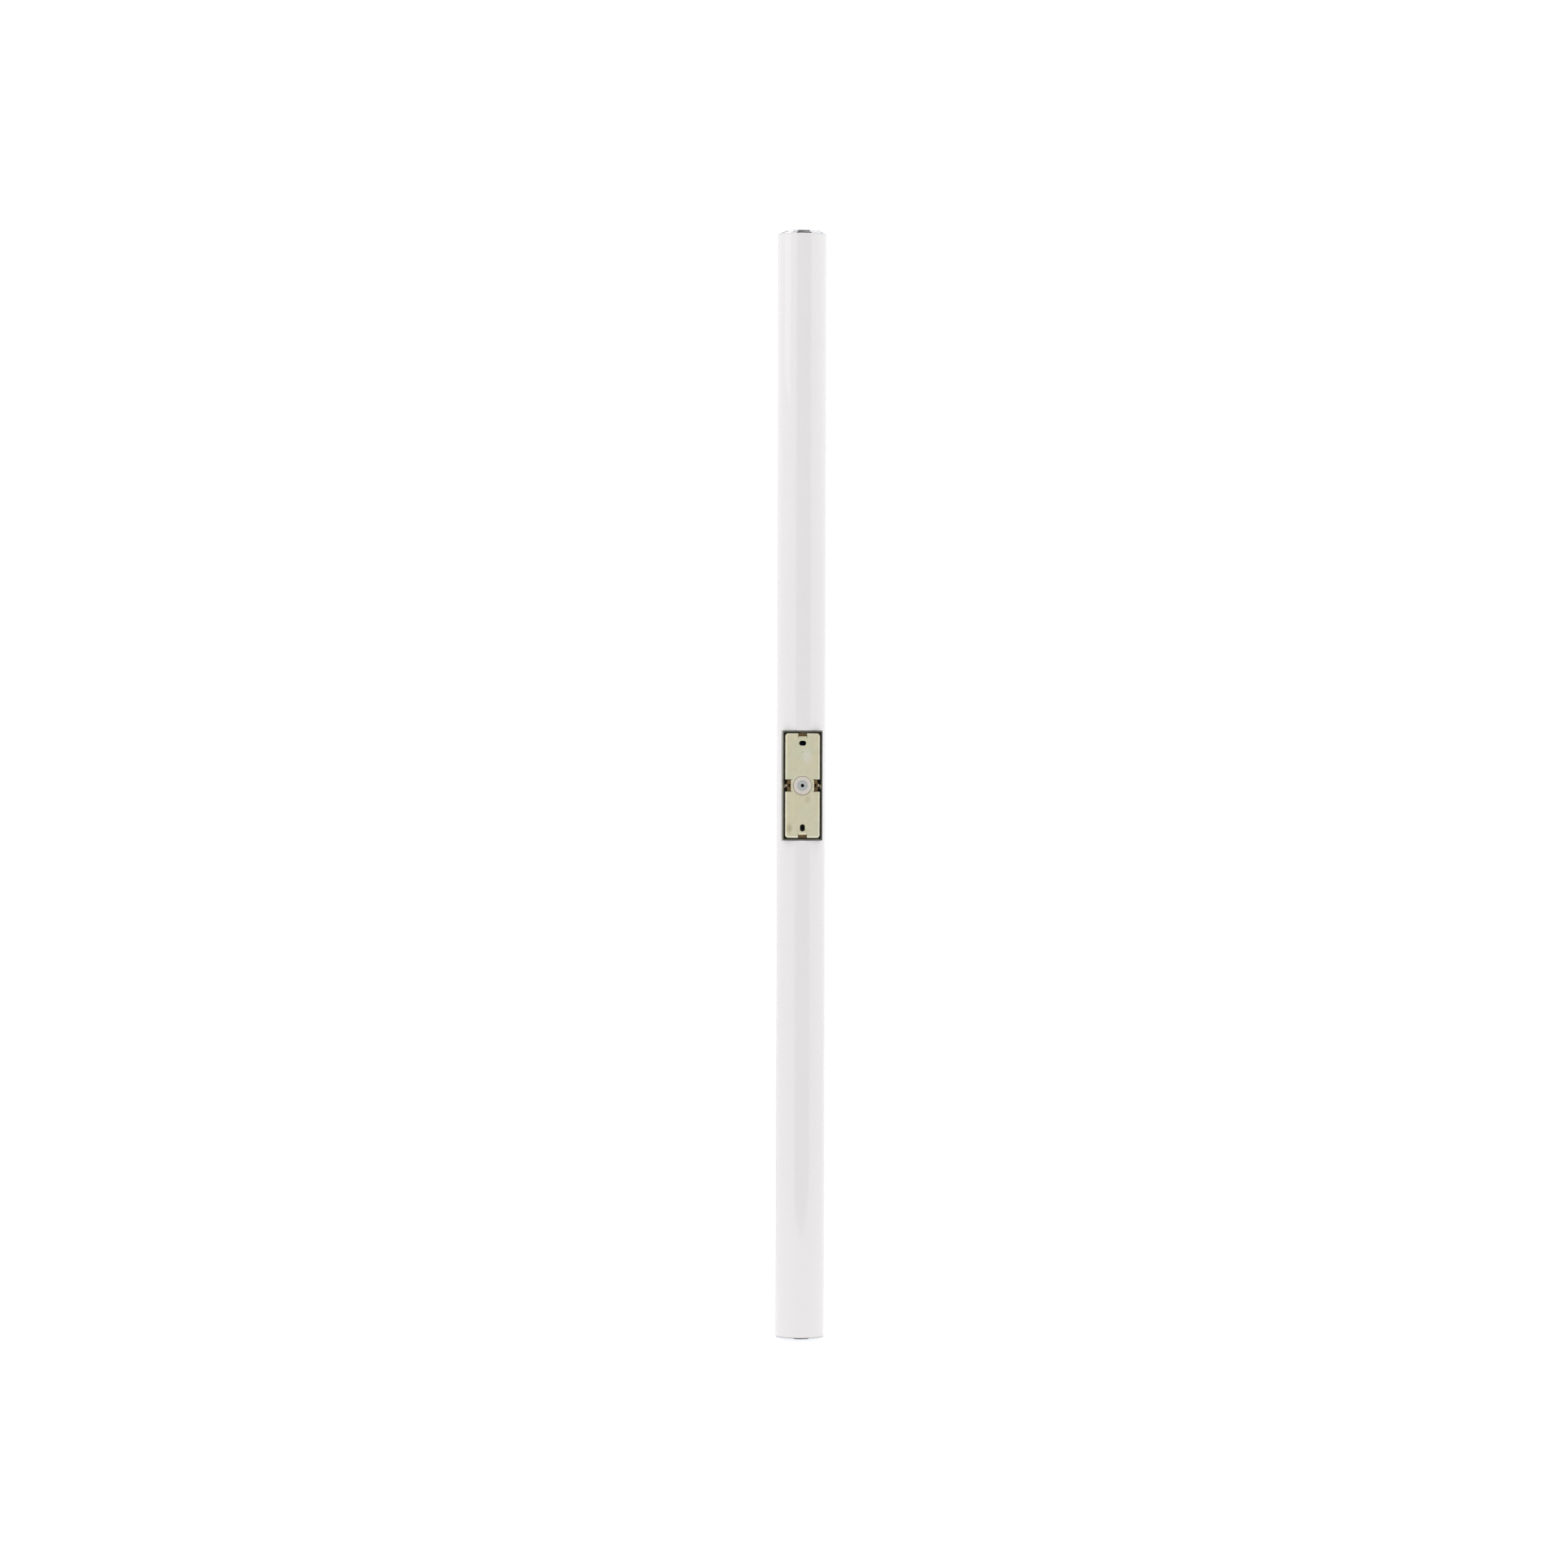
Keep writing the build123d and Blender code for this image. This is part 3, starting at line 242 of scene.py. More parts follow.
def dress(tree, shader, pattern, colours, rough, relief=None, depth=0.01 * MM):
    """Lets a pattern from 0 to 1 set a surface's colour and roughness between two values each, and relief."""
    ends = {SHARE: pattern, FIRST: colours[0], SECOND: colours[1]}
    mix = node(tree, "ShaderNodeMix", ends, data_type="RGBA")
    tree.links.new(mix.outputs[MIXED], shader.inputs["Base Color"])
    matt = node(tree, "ShaderNodeMapRange", {"Value": pattern, "To Min": rough[0], "To Max": rough[1]})
    tree.links.new(matt.outputs["Result"], shader.inputs["Roughness"])
    raised = {"Height": pattern if relief is None else relief, "Distance": depth, "Strength": HALF}
    bump = node(tree, "ShaderNodeBump", raised)
    tree.links.new(bump.outputs["Normal"], shader.inputs["Normal"])


def shaded(colour, share):
    """A colour made darker or lighter by a share of itself."""
    return tuple(min(1.0, c * share) for c in colour[:3]) + (1.0,)


# centre, reach along each axis, colour and strength of the rubbed and handled places
SMUDGES = (
    ((4.5 * MM, 0.0, 30.5 * MM), (6.5 * MM, 9.0 * MM, 9.0 * MM), "#eae9e4", 0.65),
    ((-0.5 * MM, 0.0, 35.0 * MM), (1.2 * MM, 9.0 * MM, 1.4 * MM), "#9a9272", 0.6),
    ((-14.0 * MM, 0.0, -45.0 * MM), (3.5 * MM, 9.0 * MM, 6.0 * MM), "#8f8862", 0.6),
    ((1.0 * MM, 0.0, -47.5 * MM), (9.0 * MM, 9.0 * MM, 1.2 * MM), "#a09a74", 0.45),
    ((5.0 * MM, 0.0, -15.0 * MM), (4.0 * MM, 9.0 * MM, 5.0 * MM), "#b5aa7c", 0.4),
)
DISH_REACH = 11.0 * MM
SIDE_NOTCH_HALF = 6.8 * MM
END_NOTCH_HALF = 5.0 * MM
SHADE_EDGE = 0.5 * MM  # depth over which a painted shade grows to its full strength


def passivated_zinc(colours):
    """Zinc-plated steel with a yellow chromate: cream to straw clouds, satin, rubbed here and there.

    Shade is painted in brown where the plate is pressed down and on its skirt, and a highlight is painted
    along its bends.
    """
    made, tree, shader, place = finish("yellow passivated zinc plate", Metallic=0.45)
    cloud = mottled(tree, place, 8 * MM, stretch=(1.0, 1.0, 0.6), detail=4.0, spread=0.16)
    pale = tuple(colours.bracket)
    ends = {SHARE: cloud, FIRST: pale, SECOND: shaded(pale, 0.86)}
    toned = node(tree, "ShaderNodeMix", ends, data_type="RGBA").outputs[MIXED]
    # the film changes hue slowly, from a trace of green to a trace of rose
    hue = mottled(tree, place, 24 * MM, detail=1.0, spread=0.18)
    tint = {SHARE: hue, FIRST: linear("#f2f4e6"), SECOND: linear("#f9f3e2")}
    tint = node(tree, "ShaderNodeMix", tint, data_type="RGBA").outputs[MIXED]
    laid = {SHARE: 1.0, FIRST: toned, SECOND: tint}
    toned = node(tree, "ShaderNodeMix", laid, data_type="RGBA", blend_type="MULTIPLY").outputs[MIXED]
    torn = mottled(tree, place, 2.5 * MM, detail=3.0, spread=0.35)
    for centre, size, code, most in SMUDGES:
        patch = reaching(tree, place, centre, size, 0.4, 1.6, torn)
        share = node(tree, "ShaderNodeMath", {0: patch, 1: most}, operation="MULTIPLY").outputs["Value"]
        ends = {SHARE: share, FIRST: toned, SECOND: linear(code)}
        toned = node(tree, "ShaderNodeMix", ends, data_type="RGBA").outputs[MIXED]
    # painted highlight along the bends round the plate, broken up unevenly
    nearest = past(tree, place, high("wall_bracket"))
    limits = {"Value": nearest, "From Min": -2.2 * MM, "From Max": -0.8 * MM, "To Max": 0.75}
    painted_bend_highlight = node(tree, "ShaderNodeMapRange", limits).outputs["Result"]
    painted_bend_highlight = node(tree, "ShaderNodeMath", {0: painted_bend_highlight, 1: torn}, operation="MULTIPLY").outputs["Value"]
    ends = {SHARE: painted_bend_highlight, FIRST: toned, SECOND: linear("#fffdf2")}
    toned = node(tree, "ShaderNodeMix", ends, data_type="RGBA").outputs[MIXED]
    # painted shade in brown: round the dish and in the side notches just under the face, in the end notches
    # on the feet
    dish = reaching(tree, place, (0.0, 0.0, 0.0), (DISH_REACH, FAR, DISH_REACH), 0.97, 1.0)
    side = past(tree, place, Vector((FAR, 0.0, SIDE_NOTCH_HALF)))
    end = past(tree, place, Vector((END_NOTCH_HALF, 0.0, FAR)))
    side = node(tree, "ShaderNodeMath", {0: side, 1: 0.0}, operation="LESS_THAN").outputs["Value"]
    end = node(tree, "ShaderNodeMath", {0: end, 1: 0.0}, operation="LESS_THAN").outputs["Value"]
    side = node(tree, "ShaderNodeMath", {0: side, 1: dish}, operation="MAXIMUM").outputs["Value"]
    shade_mottle = mottled(tree, place, 3 * MM, spread=0.2)
    shade_brown = {SHARE: shade_mottle, FIRST: linear("#7b5f3d"), SECOND: linear("#8b784f")}
    shade_brown = node(tree, "ShaderNodeMix", shade_brown, data_type="RGBA").outputs[MIXED]
    limits = {"Value": nearest, "From Min": -0.4 * MM, "From Max": -0.1 * MM}
    skirt = node(tree, "ShaderNodeMapRange", limits).outputs["Result"]
    # painted shade that deepens below the face: where each lies, the depth at which it starts, its strength
    # and its colour
    recess_shades = (
        (1.0, 0.4 * MM, 0.5, linear("#b3a876")),
        (skirt, 1.3 * MM, 0.8, linear("#6b6146")),
        (side, 0.5 * MM, 1.0, shade_brown),
        (end, 1.8 * MM, 1.0, shade_brown),
    )
    depth = node(tree, "ShaderNodeSeparateXYZ", {"Vector": place}).outputs["Y"]
    for where, start, most, tint in recess_shades:
        limits = {"Value": depth, "From Min": start, "From Max": start + SHADE_EDGE, "To Max": most}
        sunk = node(tree, "ShaderNodeMapRange", limits).outputs["Result"]
        sunk = node(tree, "ShaderNodeMath", {0: sunk, 1: where}, operation="MULTIPLY").outputs["Value"]
        ends = {SHARE: sunk, FIRST: toned, SECOND: tint}
        toned = node(tree, "ShaderNodeMix", ends, data_type="RGBA").outputs[MIXED]
    # rolled sheet: fine grain drawn out along the plate
    grain = mottled(tree, place, 0.5 * MM, stretch=(1.0, 1.0, 0.12), detail=4.0, spread=0.3)
    dress(tree, shader, cloud, (toned, toned), (0.42, 0.56), grain, 0.02 * MM)
    return made


def galvanised_sheet(colours):
    """Hot-dip galvanised sheet: grey-green spangles about 4 mm wide, dull, painted highlights on the corners
    and painted shade inside.
    """
    made, tree, shader, place = finish("galvanised sheet steel", Metallic=0.5)
    spangle = node(tree, "ShaderNodeTexVoronoi", {"Vector": place, "Scale": 1 / (4 * MM)})
    tone = node(tree, "ShaderNodeSeparateColor", {"Color": spangle.outputs["Color"]}).outputs["Red"]
    zinc = tuple(colours.housing)
    ends = {SHARE: tone, FIRST: shaded(zinc, 0.88), SECOND: shaded(zinc, 1.1)}
    toned = node(tree, "ShaderNodeMix", ends, data_type="RGBA").outputs[MIXED]
    # painted highlight on the folded corners: paler near the four corner lines that stand off the wall
    half = (high("mount_housing") - low("mount_housing")) / 2
    apart = node(tree, "ShaderNodeVectorMath", {0: place}, operation="ABSOLUTE").outputs["Vector"]
    reach = 2.0 * MM
    corner = reaching(tree, apart, (half.x, 0.0, half.z), (reach, FAR, reach), 0.6, 1.5)
    ends = {SHARE: corner, FIRST: toned, SECOND: linear("#d9dbd3")}
    toned = node(tree, "ShaderNodeMix", ends, data_type="RGBA").outputs[MIXED]
    # the sheared rim is bare steel
    rim = low("mount_housing").y
    depth = node(tree, "ShaderNodeSeparateXYZ", {"Vector": place}).outputs["Y"]
    limits = {"From Min": rim + 0.05 * MM, "From Max": rim + 0.15 * MM, "To Min": 0.8, "To Max": 0.0}
    bare = node(tree, "ShaderNodeMapRange", {"Value": depth, **limits}).outputs["Result"]
    ends = {SHARE: bare, FIRST: toned, SECOND: linear("#6d6e61")}
    toned = node(tree, "ShaderNodeMix", ends, data_type="RGBA").outputs[MIXED]
    # painted shade in a band inside, from the rim's inner edge down, fading above the floor
    limits = {"Value": depth, "From Min": rim - 0.5 * MM, "From Max": rim + 0.3 * MM}
    below = node(tree, "ShaderNodeMapRange", limits).outputs["Result"]
    limits = {"From Min": rim + 5 * MM, "From Max": rim + 11 * MM, "To Min": 1.0, "To Max": 0.15}
    fading = node(tree, "ShaderNodeMapRange", {"Value": depth, **limits}).outputs["Result"]
    below = node(tree, "ShaderNodeMath", {0: below, 1: fading}, operation="MULTIPLY").outputs["Value"]
    limits = {"From Min": -0.9 * MM, "From Max": -0.5 * MM, "To Min": 1.0, "To Max": 0.0}
    inside = node(tree, "ShaderNodeMapRange", {"Value": past(tree, place, half), **limits}).outputs["Result"]
    painted_inner_shade = node(tree, "ShaderNodeMath", {0: below, 1: inside}, operation="MULTIPLY").outputs["Value"]
    ends = {SHARE: painted_inner_shade, FIRST: toned, SECOND: linear("#3a3022")}
    toned = node(tree, "ShaderNodeMix", ends, data_type="RGBA").outputs[MIXED]
    dress(tree, shader, tone, (toned, toned), (0.4, 0.6), mottled(tree, place, 0.6 * MM), 0.015 * MM)
    return made


def bright_zinc(name, code, size=1.5):
    """Zinc plating on turned or headed steel: bright, with slight cloudiness and fine tool marks."""
    made, tree, shader, place = finish(name, Metallic=1.0)
    cloud = mottled(tree, place, size * MM, spread=0.2)
    tones = shaded(linear(code), 0.88), linear(code)
    dress(tree, shader, cloud, tones, (0.22, 0.4), mottled(tree, place, 0.3 * MM), 0.008 * MM)
    return made


def opal_acrylic(colours):
    """Extruded opal acrylic: milky and glossy, light soaks in at its edges, faint die lines run along it."""
    made, tree, shader, place = finish(
        "extruded opal acrylic",
        IOR=1.49,
        Subsurface_Weight=0.15,
        Subsurface_Radius=(1.0, 0.96, 0.94),
        Subsurface_Scale=1.5 * MM,
    )
    cloud = mottled(tree, place, 60 * MM, stretch=(1.0, 1.0, 0.3), detail=1.0, spread=0.3)
    opal = tuple(colours.opal)
    # painted shade in the joint with the lower cap
    height = node(tree, "ShaderNodeSeparateXYZ", {"Vector": place}).outputs["Z"]
    end = low("diffuser_tube").z
    limits = {"From Min": end + 0.3 * MM, "From Max": end + 0.9 * MM, "To Min": 0.6, "To Max": 0.0}
    dust_and_shade = node(tree, "ShaderNodeMapRange", {"Value": height, **limits}).outputs["Result"]
    joint_shaded_opal = {SHARE: dust_and_shade, FIRST: opal, SECOND: linear("#6f6e72")}
    joint_shaded_opal = node(tree, "ShaderNodeMix", joint_shaded_opal, data_type="RGBA").outputs[MIXED]
    cloudy = {SHARE: 1.0, FIRST: joint_shaded_opal, SECOND: linear("#fdfdfd")}
    cloudy = node(tree, "ShaderNodeMix", cloudy, data_type="RGBA", blend_type="MULTIPLY").outputs[MIXED]
    lines = mottled(tree, place, 1.8 * MM, stretch=(1.0, 1.0, 0.004), detail=1.0, spread=0.3)
    dress(tree, shader, cloud, (joint_shaded_opal, cloudy), (0.05, 0.09), lines, 0.003 * MM)
    return made


def bright_chrome(colours):
    """Chrome plating on moulded plastic: a mirror with a trace of orange peel and faint wiping haze."""
    made, tree, shader, place = finish("bright chrome on moulded ABS", Metallic=1.0)
    haze = mottled(tree, place, 6 * MM, detail=4.0, spread=0.25)
    peel = mottled(tree, place, 3.5 * MM, detail=1.0, spread=0.4)
    chrome = tuple(colours.chrome)
    dress(tree, shader, haze, (chrome, shaded(chrome, 0.95)), (0.03, 0.08), peel, 0.004 * MM)
    return made


def clear_silicone(name, colour, disc=None):
    """Moulded translucent silicone: milky with a trace of rose, and dust clings to it.

    The disc is thin, so the dark behind it is painted in as a bluish grey shade, and its bore is painted
    black, as shade and dirt.
    """
    made, tree, shader, place = finish(
        name,
        IOR=1.41,
        Subsurface_Weight=0.3,
        Subsurface_Radius=(1.0, 0.85, 0.8),
        Subsurface_Scale=1.0 * MM,
    )
    dust = mottled(tree, place, 1.2 * MM, detail=4.0, spread=0.25)
    toned = colour
    # painted shade: the dark seen through the thin membrane, and the bore's black of shade and dirt
    for radius, edge, tone in disc or ():
        inside = reaching(tree, place, (0.0, 0.0, 0.0), (radius, FAR, radius), 1.0 - edge, 1.0 + edge)
        ends = {SHARE: inside, FIRST: toned, SECOND: linear(tone)}
        toned = node(tree, "ShaderNodeMix", ends, data_type="RGBA").outputs[MIXED]
    dusted = {SHARE: 1.0, FIRST: toned, SECOND: linear("#efece6")}
    dust_and_shade = node(tree, "ShaderNodeMix", dusted, data_type="RGBA", blend_type="MULTIPLY").outputs[MIXED]
    dress(tree, shader, dust, (toned, dust_and_shade), (0.32, 0.5), mottled(tree, place, 0.4 * MM), 0.01 * MM)
    return made


def moulded(name, code, rough=(0.35, 0.5), grain=0.5 * MM, depth=0.01 * MM):
    """Injection-moulded plastic: an even colour, slight flow clouds and the mould's fine spark texture."""
    made, tree, shader, place = finish(name, IOR=1.53)
    cloud = mottled(tree, place, 7 * MM, detail=2.0, spread=0.25)
    tones = linear(code), shaded(linear(code), 0.94)
    dress(tree, shader, cloud, tones, rough, mottled(tree, place, grain), depth)
    return made


def mill_aluminium():
    """Extruded aluminium as it leaves the press: pale, with drawn die lines along its length."""
    made, tree, shader, place = finish("extruded aluminium, mill finish", Metallic=1.0)
    lines = mottled(tree, place, 0.7 * MM, stretch=(1.0, 1.0, 0.01), spread=0.3)
    dress(tree, shader, lines, (linear("#c6c7c9"), linear("#dcdddf")), (0.28, 0.42))
    return made


def white_mask_board():
    """White solder mask printed on an aluminium-core board: copper tracks just show as raised bands."""
    made, tree, shader, place = finish("white solder mask board", IOR=1.52)
    bands = {"Vector": place, "Scale": 1 / (20 * MM)}
    bands = node(tree, "ShaderNodeTexWave", bands, bands_direction="X").outputs["Fac"]
    limits = {"Value": bands, "From Min": 0.45, "From Max": 0.55}
    step = node(tree, "ShaderNodeMapRange", limits).outputs["Result"]
    dress(tree, shader, step, (linear("#eeeeea"), linear("#e4e4dd")), (0.25, 0.35), step, 0.03 * MM)
    return made


def led_phosphor():
    """LED packages: a yellow phosphor gel in a white moulded frame, told apart by height above the board."""
    made, tree, shader, place = finish("phosphor gel in a white frame", IOR=1.45, Subsurface_Weight=0.1)
    height = node(tree, "ShaderNodeSeparateXYZ", {"Vector": place}).outputs["Y"]
    top = high("led_chips_upper").y
    limits = {"Value": height, "From Min": top - 0.12 * MM, "From Max": top - 0.05 * MM}
    face = node(tree, "ShaderNodeMapRange", limits).outputs["Result"]
    grain = mottled(tree, place, 0.25 * MM, detail=2.0)
    gel = {SHARE: grain, FIRST: linear("#f2d45c"), SECOND: linear("#e6c247")}
    gel = node(tree, "ShaderNodeMix", gel, data_type="RGBA").outputs[MIXED]
    dress(tree, shader, face, (linear("#f3f2ec"), gel), (0.3, 0.15), grain, 0.005 * MM)
    return made


def green_laminate():
    """Glass-epoxy laminate with green mask: the glass weave shows as a faint square pattern."""
    made, tree, shader, place = finish("green glass epoxy laminate", IOR=1.55)
    pitch = 1 / (1.2 * MM)
    across = node(tree, "ShaderNodeTexWave", {"Vector": place, "Scale": pitch}, bands_direction="X")
    along = node(tree, "ShaderNodeTexWave", {"Vector": place, "Scale": pitch}, bands_direction="Z")
    both = {0: across.outputs["Fac"], 1: along.outputs["Fac"]}
    weave = node(tree, "ShaderNodeMath", both, operation="MULTIPLY").outputs["Value"]
    dress(tree, shader, weave, (linear("#1c5a34"), linear("#2a7345")), (0.2, 0.32))
    return made


def ferrite():
    """Sintered ferrite: charcoal, matt and slightly porous."""
    made, tree, shader, place = finish("sintered ferrite", IOR=1.9)
    pores = mottled(tree, place, 0.35 * MM, detail=4.0, spread=0.2)
    dress(tree, shader, pores, (linear("#26262a"), linear("#3c3c41")), (0.5, 0.75), pores, 0.03 * MM)
    return made


def wound_wire():
    """Enamelled copper wire, wound side by side: glossy orange-brown ridges."""
    sockets = {"Metallic": 0.8, "Coat_Weight": 0.6, "Coat_Roughness": 0.1}
    made, tree, shader, place = finish("enamelled copper winding", **sockets)
    ridges = {"Vector": place, "Scale": 1 / (4 * MM), "Distortion": 0.6}
    turns = node(tree, "ShaderNodeTexWave", ridges, bands_direction="DIAGONAL").outputs["Fac"]
    dress(tree, shader, turns, (linear("#7b3d1c"), linear("#c97a44")), (0.3, 0.2), turns, 0.2 * MM)
    return made


def lead_cover(name, code, stripe=None):
    """Extruded PVC on a lead: softly glossy, with the wire's faint lay and, on the earth lead, a stripe."""
    made, tree, shader, place = finish(name, IOR=1.53)
    cloud = mottled(tree, place, 3 * MM, detail=2.0)
    second = shaded(linear(code), 0.9)
    if stripe:
        height = node(tree, "ShaderNodeSeparateXYZ", {"Vector": place}).outputs["Y"]
        middle = 14.0 * MM
        limits = {"Value": height, "From Min": middle - 0.1 * MM, "From Max": middle + 0.1 * MM}
        cloud = node(tree, "ShaderNodeMapRange", limits).outputs["Result"]
        second = linear(stripe)
    lay = mottled(tree, place, 0.6 * MM, stretch=(1.0, 1.0, 0.2))
    dress(tree, shader, cloud, (linear(code), second), (0.25, 0.4), lay, 0.02 * MM)
    return made


def nitrile_rubber():
    """Moulded nitrile rings: black with a soft grey bloom."""
    made, tree, shader, place = finish("moulded nitrile rubber", IOR=1.52)
    bloom = mottled(tree, place, 2 * MM, detail=4.0)
    tones = linear("#161616"), linear("#2b2b2b")
    dress(tree, shader, bloom, tones, (0.4, 0.6), mottled(tree, place, 0.3 * MM))
    return made


def capacitor_sleeve():
    """Heat-shrunk sleeve on a capacitor: dark blue, glossy, with a paler polarity band along one side."""
    made, tree, shader, place = finish("shrunk plastic sleeve", IOR=1.54)
    across = node(tree, "ShaderNodeSeparateXYZ", {"Vector": place}).outputs["X"]
    edge = high("driver_capacitors").x
    limits = {"Value": across, "From Min": edge - 0.9 * MM, "From Max": edge - 0.7 * MM}
    band = node(tree, "ShaderNodeMapRange", limits).outputs["Result"]
    creases = mottled(tree, place, 1.5 * MM, stretch=(1.0, 1.0, 0.3))
    dress(tree, shader, band, (linear("#14182a"), linear("#9aa0ac")), (0.12, 0.25), creases, 0.02 * MM)
    return made


def stage_cloth(name, code, size):
    """Matt studio paper or cloth with a trace of unevenness."""
    made, tree, shader, place = finish(name, Specular_IOR_Level=0.1)
    cloud = mottled(tree, place, size, detail=2.0, spread=0.3)
    tones = linear(code), shaded(linear(code), 0.98)
    dress(tree, shader, cloud, tones, (0.8, 0.9), mottled(tree, place, size / 40), 0.1 * MM)
    return made


# ---- Sizes and colours that a user would change ----
class LampSizes(bpy.types.PropertyGroup):
    """Sizes of the tube, its caps and the pieces in the mount."""

    tube_radius: FloatProperty(
        name="Tube radius", description="Outside radius of the tube", default=0.0254, unit="LENGTH"
    )
    tube_wall: FloatProperty(
        name="Tube wall", description="Wall of the tube", default=0.003, unit="LENGTH"
    )
    window_gap: FloatProperty(
        name="Window gap",
        description="Between the housing and the tube's window",
        default=0.0003,
        unit="LENGTH",
    )
    edge_break: FloatProperty(
        name="Edge break", description="Rounding of the tube's cut edges", default=0.00025, unit="LENGTH"
    )
    cap_rim: FloatProperty(
        name="Cap rim", description="Height of a cap's rim", default=0.0016, unit="LENGTH"
    )
    cap_disc: FloatProperty(
        name="Cap disc", description="Radius of a cap's raised disc", default=0.021, unit="LENGTH"
    )
    skirt_radius: FloatProperty(
        name="Skirt radius", description="Outside radius of a cap's skirt", default=0.02005, unit="LENGTH"
    )
    skirt_wall: FloatProperty(
        name="Skirt wall", description="Wall of a cap", default=0.0012, unit="LENGTH"
    )
    columns: IntProperty(
        name="Columns", description="Facets round a turned piece", default=192, min=24, max=720
    )


class LampColours(bpy.types.PropertyGroup):
    """Colours of the finishes that show most."""

    opal: FloatVectorProperty(
        name="Opal",
        description="The tube",
        default=linear("#d7d5d6"),
        size=4,
        subtype="COLOR",
        min=0,
        max=1,
    )
    chrome: FloatVectorProperty(
        name="Chrome",
        description="The caps",
        default=linear("#dfe1e4"),
        size=4,
        subtype="COLOR",
        min=0,
        max=1,
    )
    bracket: FloatVectorProperty(
        name="Bracket",
        description="The passivated plate",
        default=linear("#edebda"),
        size=4,
        subtype="COLOR",
        min=0,
        max=1,
    )
    housing: FloatVectorProperty(
        name="Housing",
        description="The galvanised sheet",
        default=linear("#b9bab0"),
        size=4,
        subtype="COLOR",
        min=0,
        max=1,
    )
    silicone: FloatVectorProperty(
        name="Silicone",
        description="The grommet",
        default=linear("#c9c4bd"),
        size=4,
        subtype="COLOR",
        min=0,
        max=1,
    )


# ---- The light's pieces ----
def tube_shells(sizes):
    """The tube's skins and cut faces.

    A point of either skin is at radius times the sine and minus the cosine of its angle from the wall side.
    Columns fall on the window's edges, whose angle is the arc sine of its half width over the radius.
    """
    outer = sizes.tube_radius
    inner = outer - sizes.tube_wall
    end = high("diffuser_tube").z
    axis_y = high("diffuser_tube").y - outer
    half = (high("mount_housing") - low("mount_housing")) / 2
    half_x = half.x + sizes.window_gap
    half_z = half.z + sizes.window_gap
    in_window = 73
    round_back = 153
    ease = sizes.edge_break

    def skin(profile, first=0, last=None):
        rows = []
        for radius, z in profile:
            edge = math.asin(half_x / radius)
            behind = np.linspace(edge, TURN - edge, round_back)
            angle = np.concatenate([np.linspace(-edge, edge, in_window), behind[1:]])[first:last]
            z_row = np.full_like(angle, z)
            rows.append(np.stack([radius * np.sin(angle), axis_y - radius * np.cos(angle), z_row], -1))
        return np.stack(rows)

    outline = [(outer, half_z), (outer, end), (inner, end), (inner, half_z)]
    profile = rounded(outline, [ease, ease], 4)
    upper = skin(profile)
    shells = []
    for sign in (1, -1):
        flip = np.array([1, 1, sign])
        shells.append(sheet(upper * flip))
        edge_face = np.stack([upper[0, :in_window], upper[-1, :in_window]]) * flip
        shells.append(sheet(edge_face))
    middle = [(outer, half_z), (outer, -half_z)], [(inner, half_z), (inner, -half_z)]
    outside, inside = (skin(pair, in_window - 1) for pair in middle)
    shells += [sheet(outside), sheet(inside)]
    for column in (0, -1):
        shells.append(sheet(np.stack([outside[:, column], inside[:, column]])))
    return shells


def cap_shells(sizes, sign):
    """An end cap as a closed surface of revolution; sign is 1 at the top and -1 at the bottom."""
    name = "top_end_cap" if sign > 0 else "bottom_end_cap"
    corner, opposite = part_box(name)
    tip = max(abs(corner.z), abs(opposite.z))
    lip = min(abs(corner.z), abs(opposite.z))
    end = high("diffuser_tube").z
    rim = end + sizes.cap_rim
    radius = sizes.tube_radius
    outer = sizes.skirt_radius
    inner = outer - sizes.skirt_wall
    under = tip - sizes.cap_rim
    outline = [
        (0, tip),
        (sizes.cap_disc, tip),
        (sizes.cap_disc, rim),
        (radius, rim),
        (radius, end),
        (outer, end),
        (outer, lip),
        (inner, lip),
        (inner, under),
        (0, under),
    ]
    rounds = [0.5 * MM, 0.25 * MM, 0.7 * MM, 0.15 * MM, 0.1 * MM, 0.3 * MM, 0.3 * MM, 0.5 * MM]
    profile = rounded(outline, rounds, 6)
    profile[:, 1] *= sign
    centre = (0, high("diffuser_tube").y - radius)
    return [turned(profile, "Z", centre, sizes.columns)]


def grommet_shells(sizes):
    """The grommet as a closed surface of revolution round Y: flange, membrane, nipple, bead and neck."""
    back = low("cable_grommet").y / MM
    front = high("cable_grommet").y / MM
    flange = high("cable_grommet").x / MM
    # in millimetres: radii, then heights over the wall
    pinhole, membrane, opening, neck, bead, bead_tip = 1.6, 5.15, 5.65, 7.0, 8.6, 7.8
    nipple, nipple_foot = 2.8, 3.1
    membrane_back, membrane_front, seat, bead_back, bead_front = 1.1, 2.2, 1.2, 2.7, 4.1
    outline = [
        (pinhole, membrane_back),
        (membrane, membrane_back),
        (opening, back),
        (flange, back),
        (flange, seat),
        (neck, seat),
        (neck, bead_back),
        (bead, bead_back),
        (bead_tip, bead_front),
        (opening, bead_front),
        (opening, membrane_front),
        (nipple_foot, membrane_front),
        (nipple, front),
        (pinhole, front),
        (pinhole, membrane_back),
    ]
    rounds = [0.25, 0.35, 0.4, 0.1, 0.1, 0.1, 0.3, 0.4, 0.4, 0.3, 0.3, 0.2, 0.2]
    profile = rounded(outline, rounds, 5) * MM
    return [turned(profile, "Y", (0, 0), sizes.columns)]


def lock_axis():
    """The height above the wall of both lock screws, and zero for their place along the tube."""
    corner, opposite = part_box("lock_screw_right")
    return ((corner.y + opposite.y) / 2, 0.0)


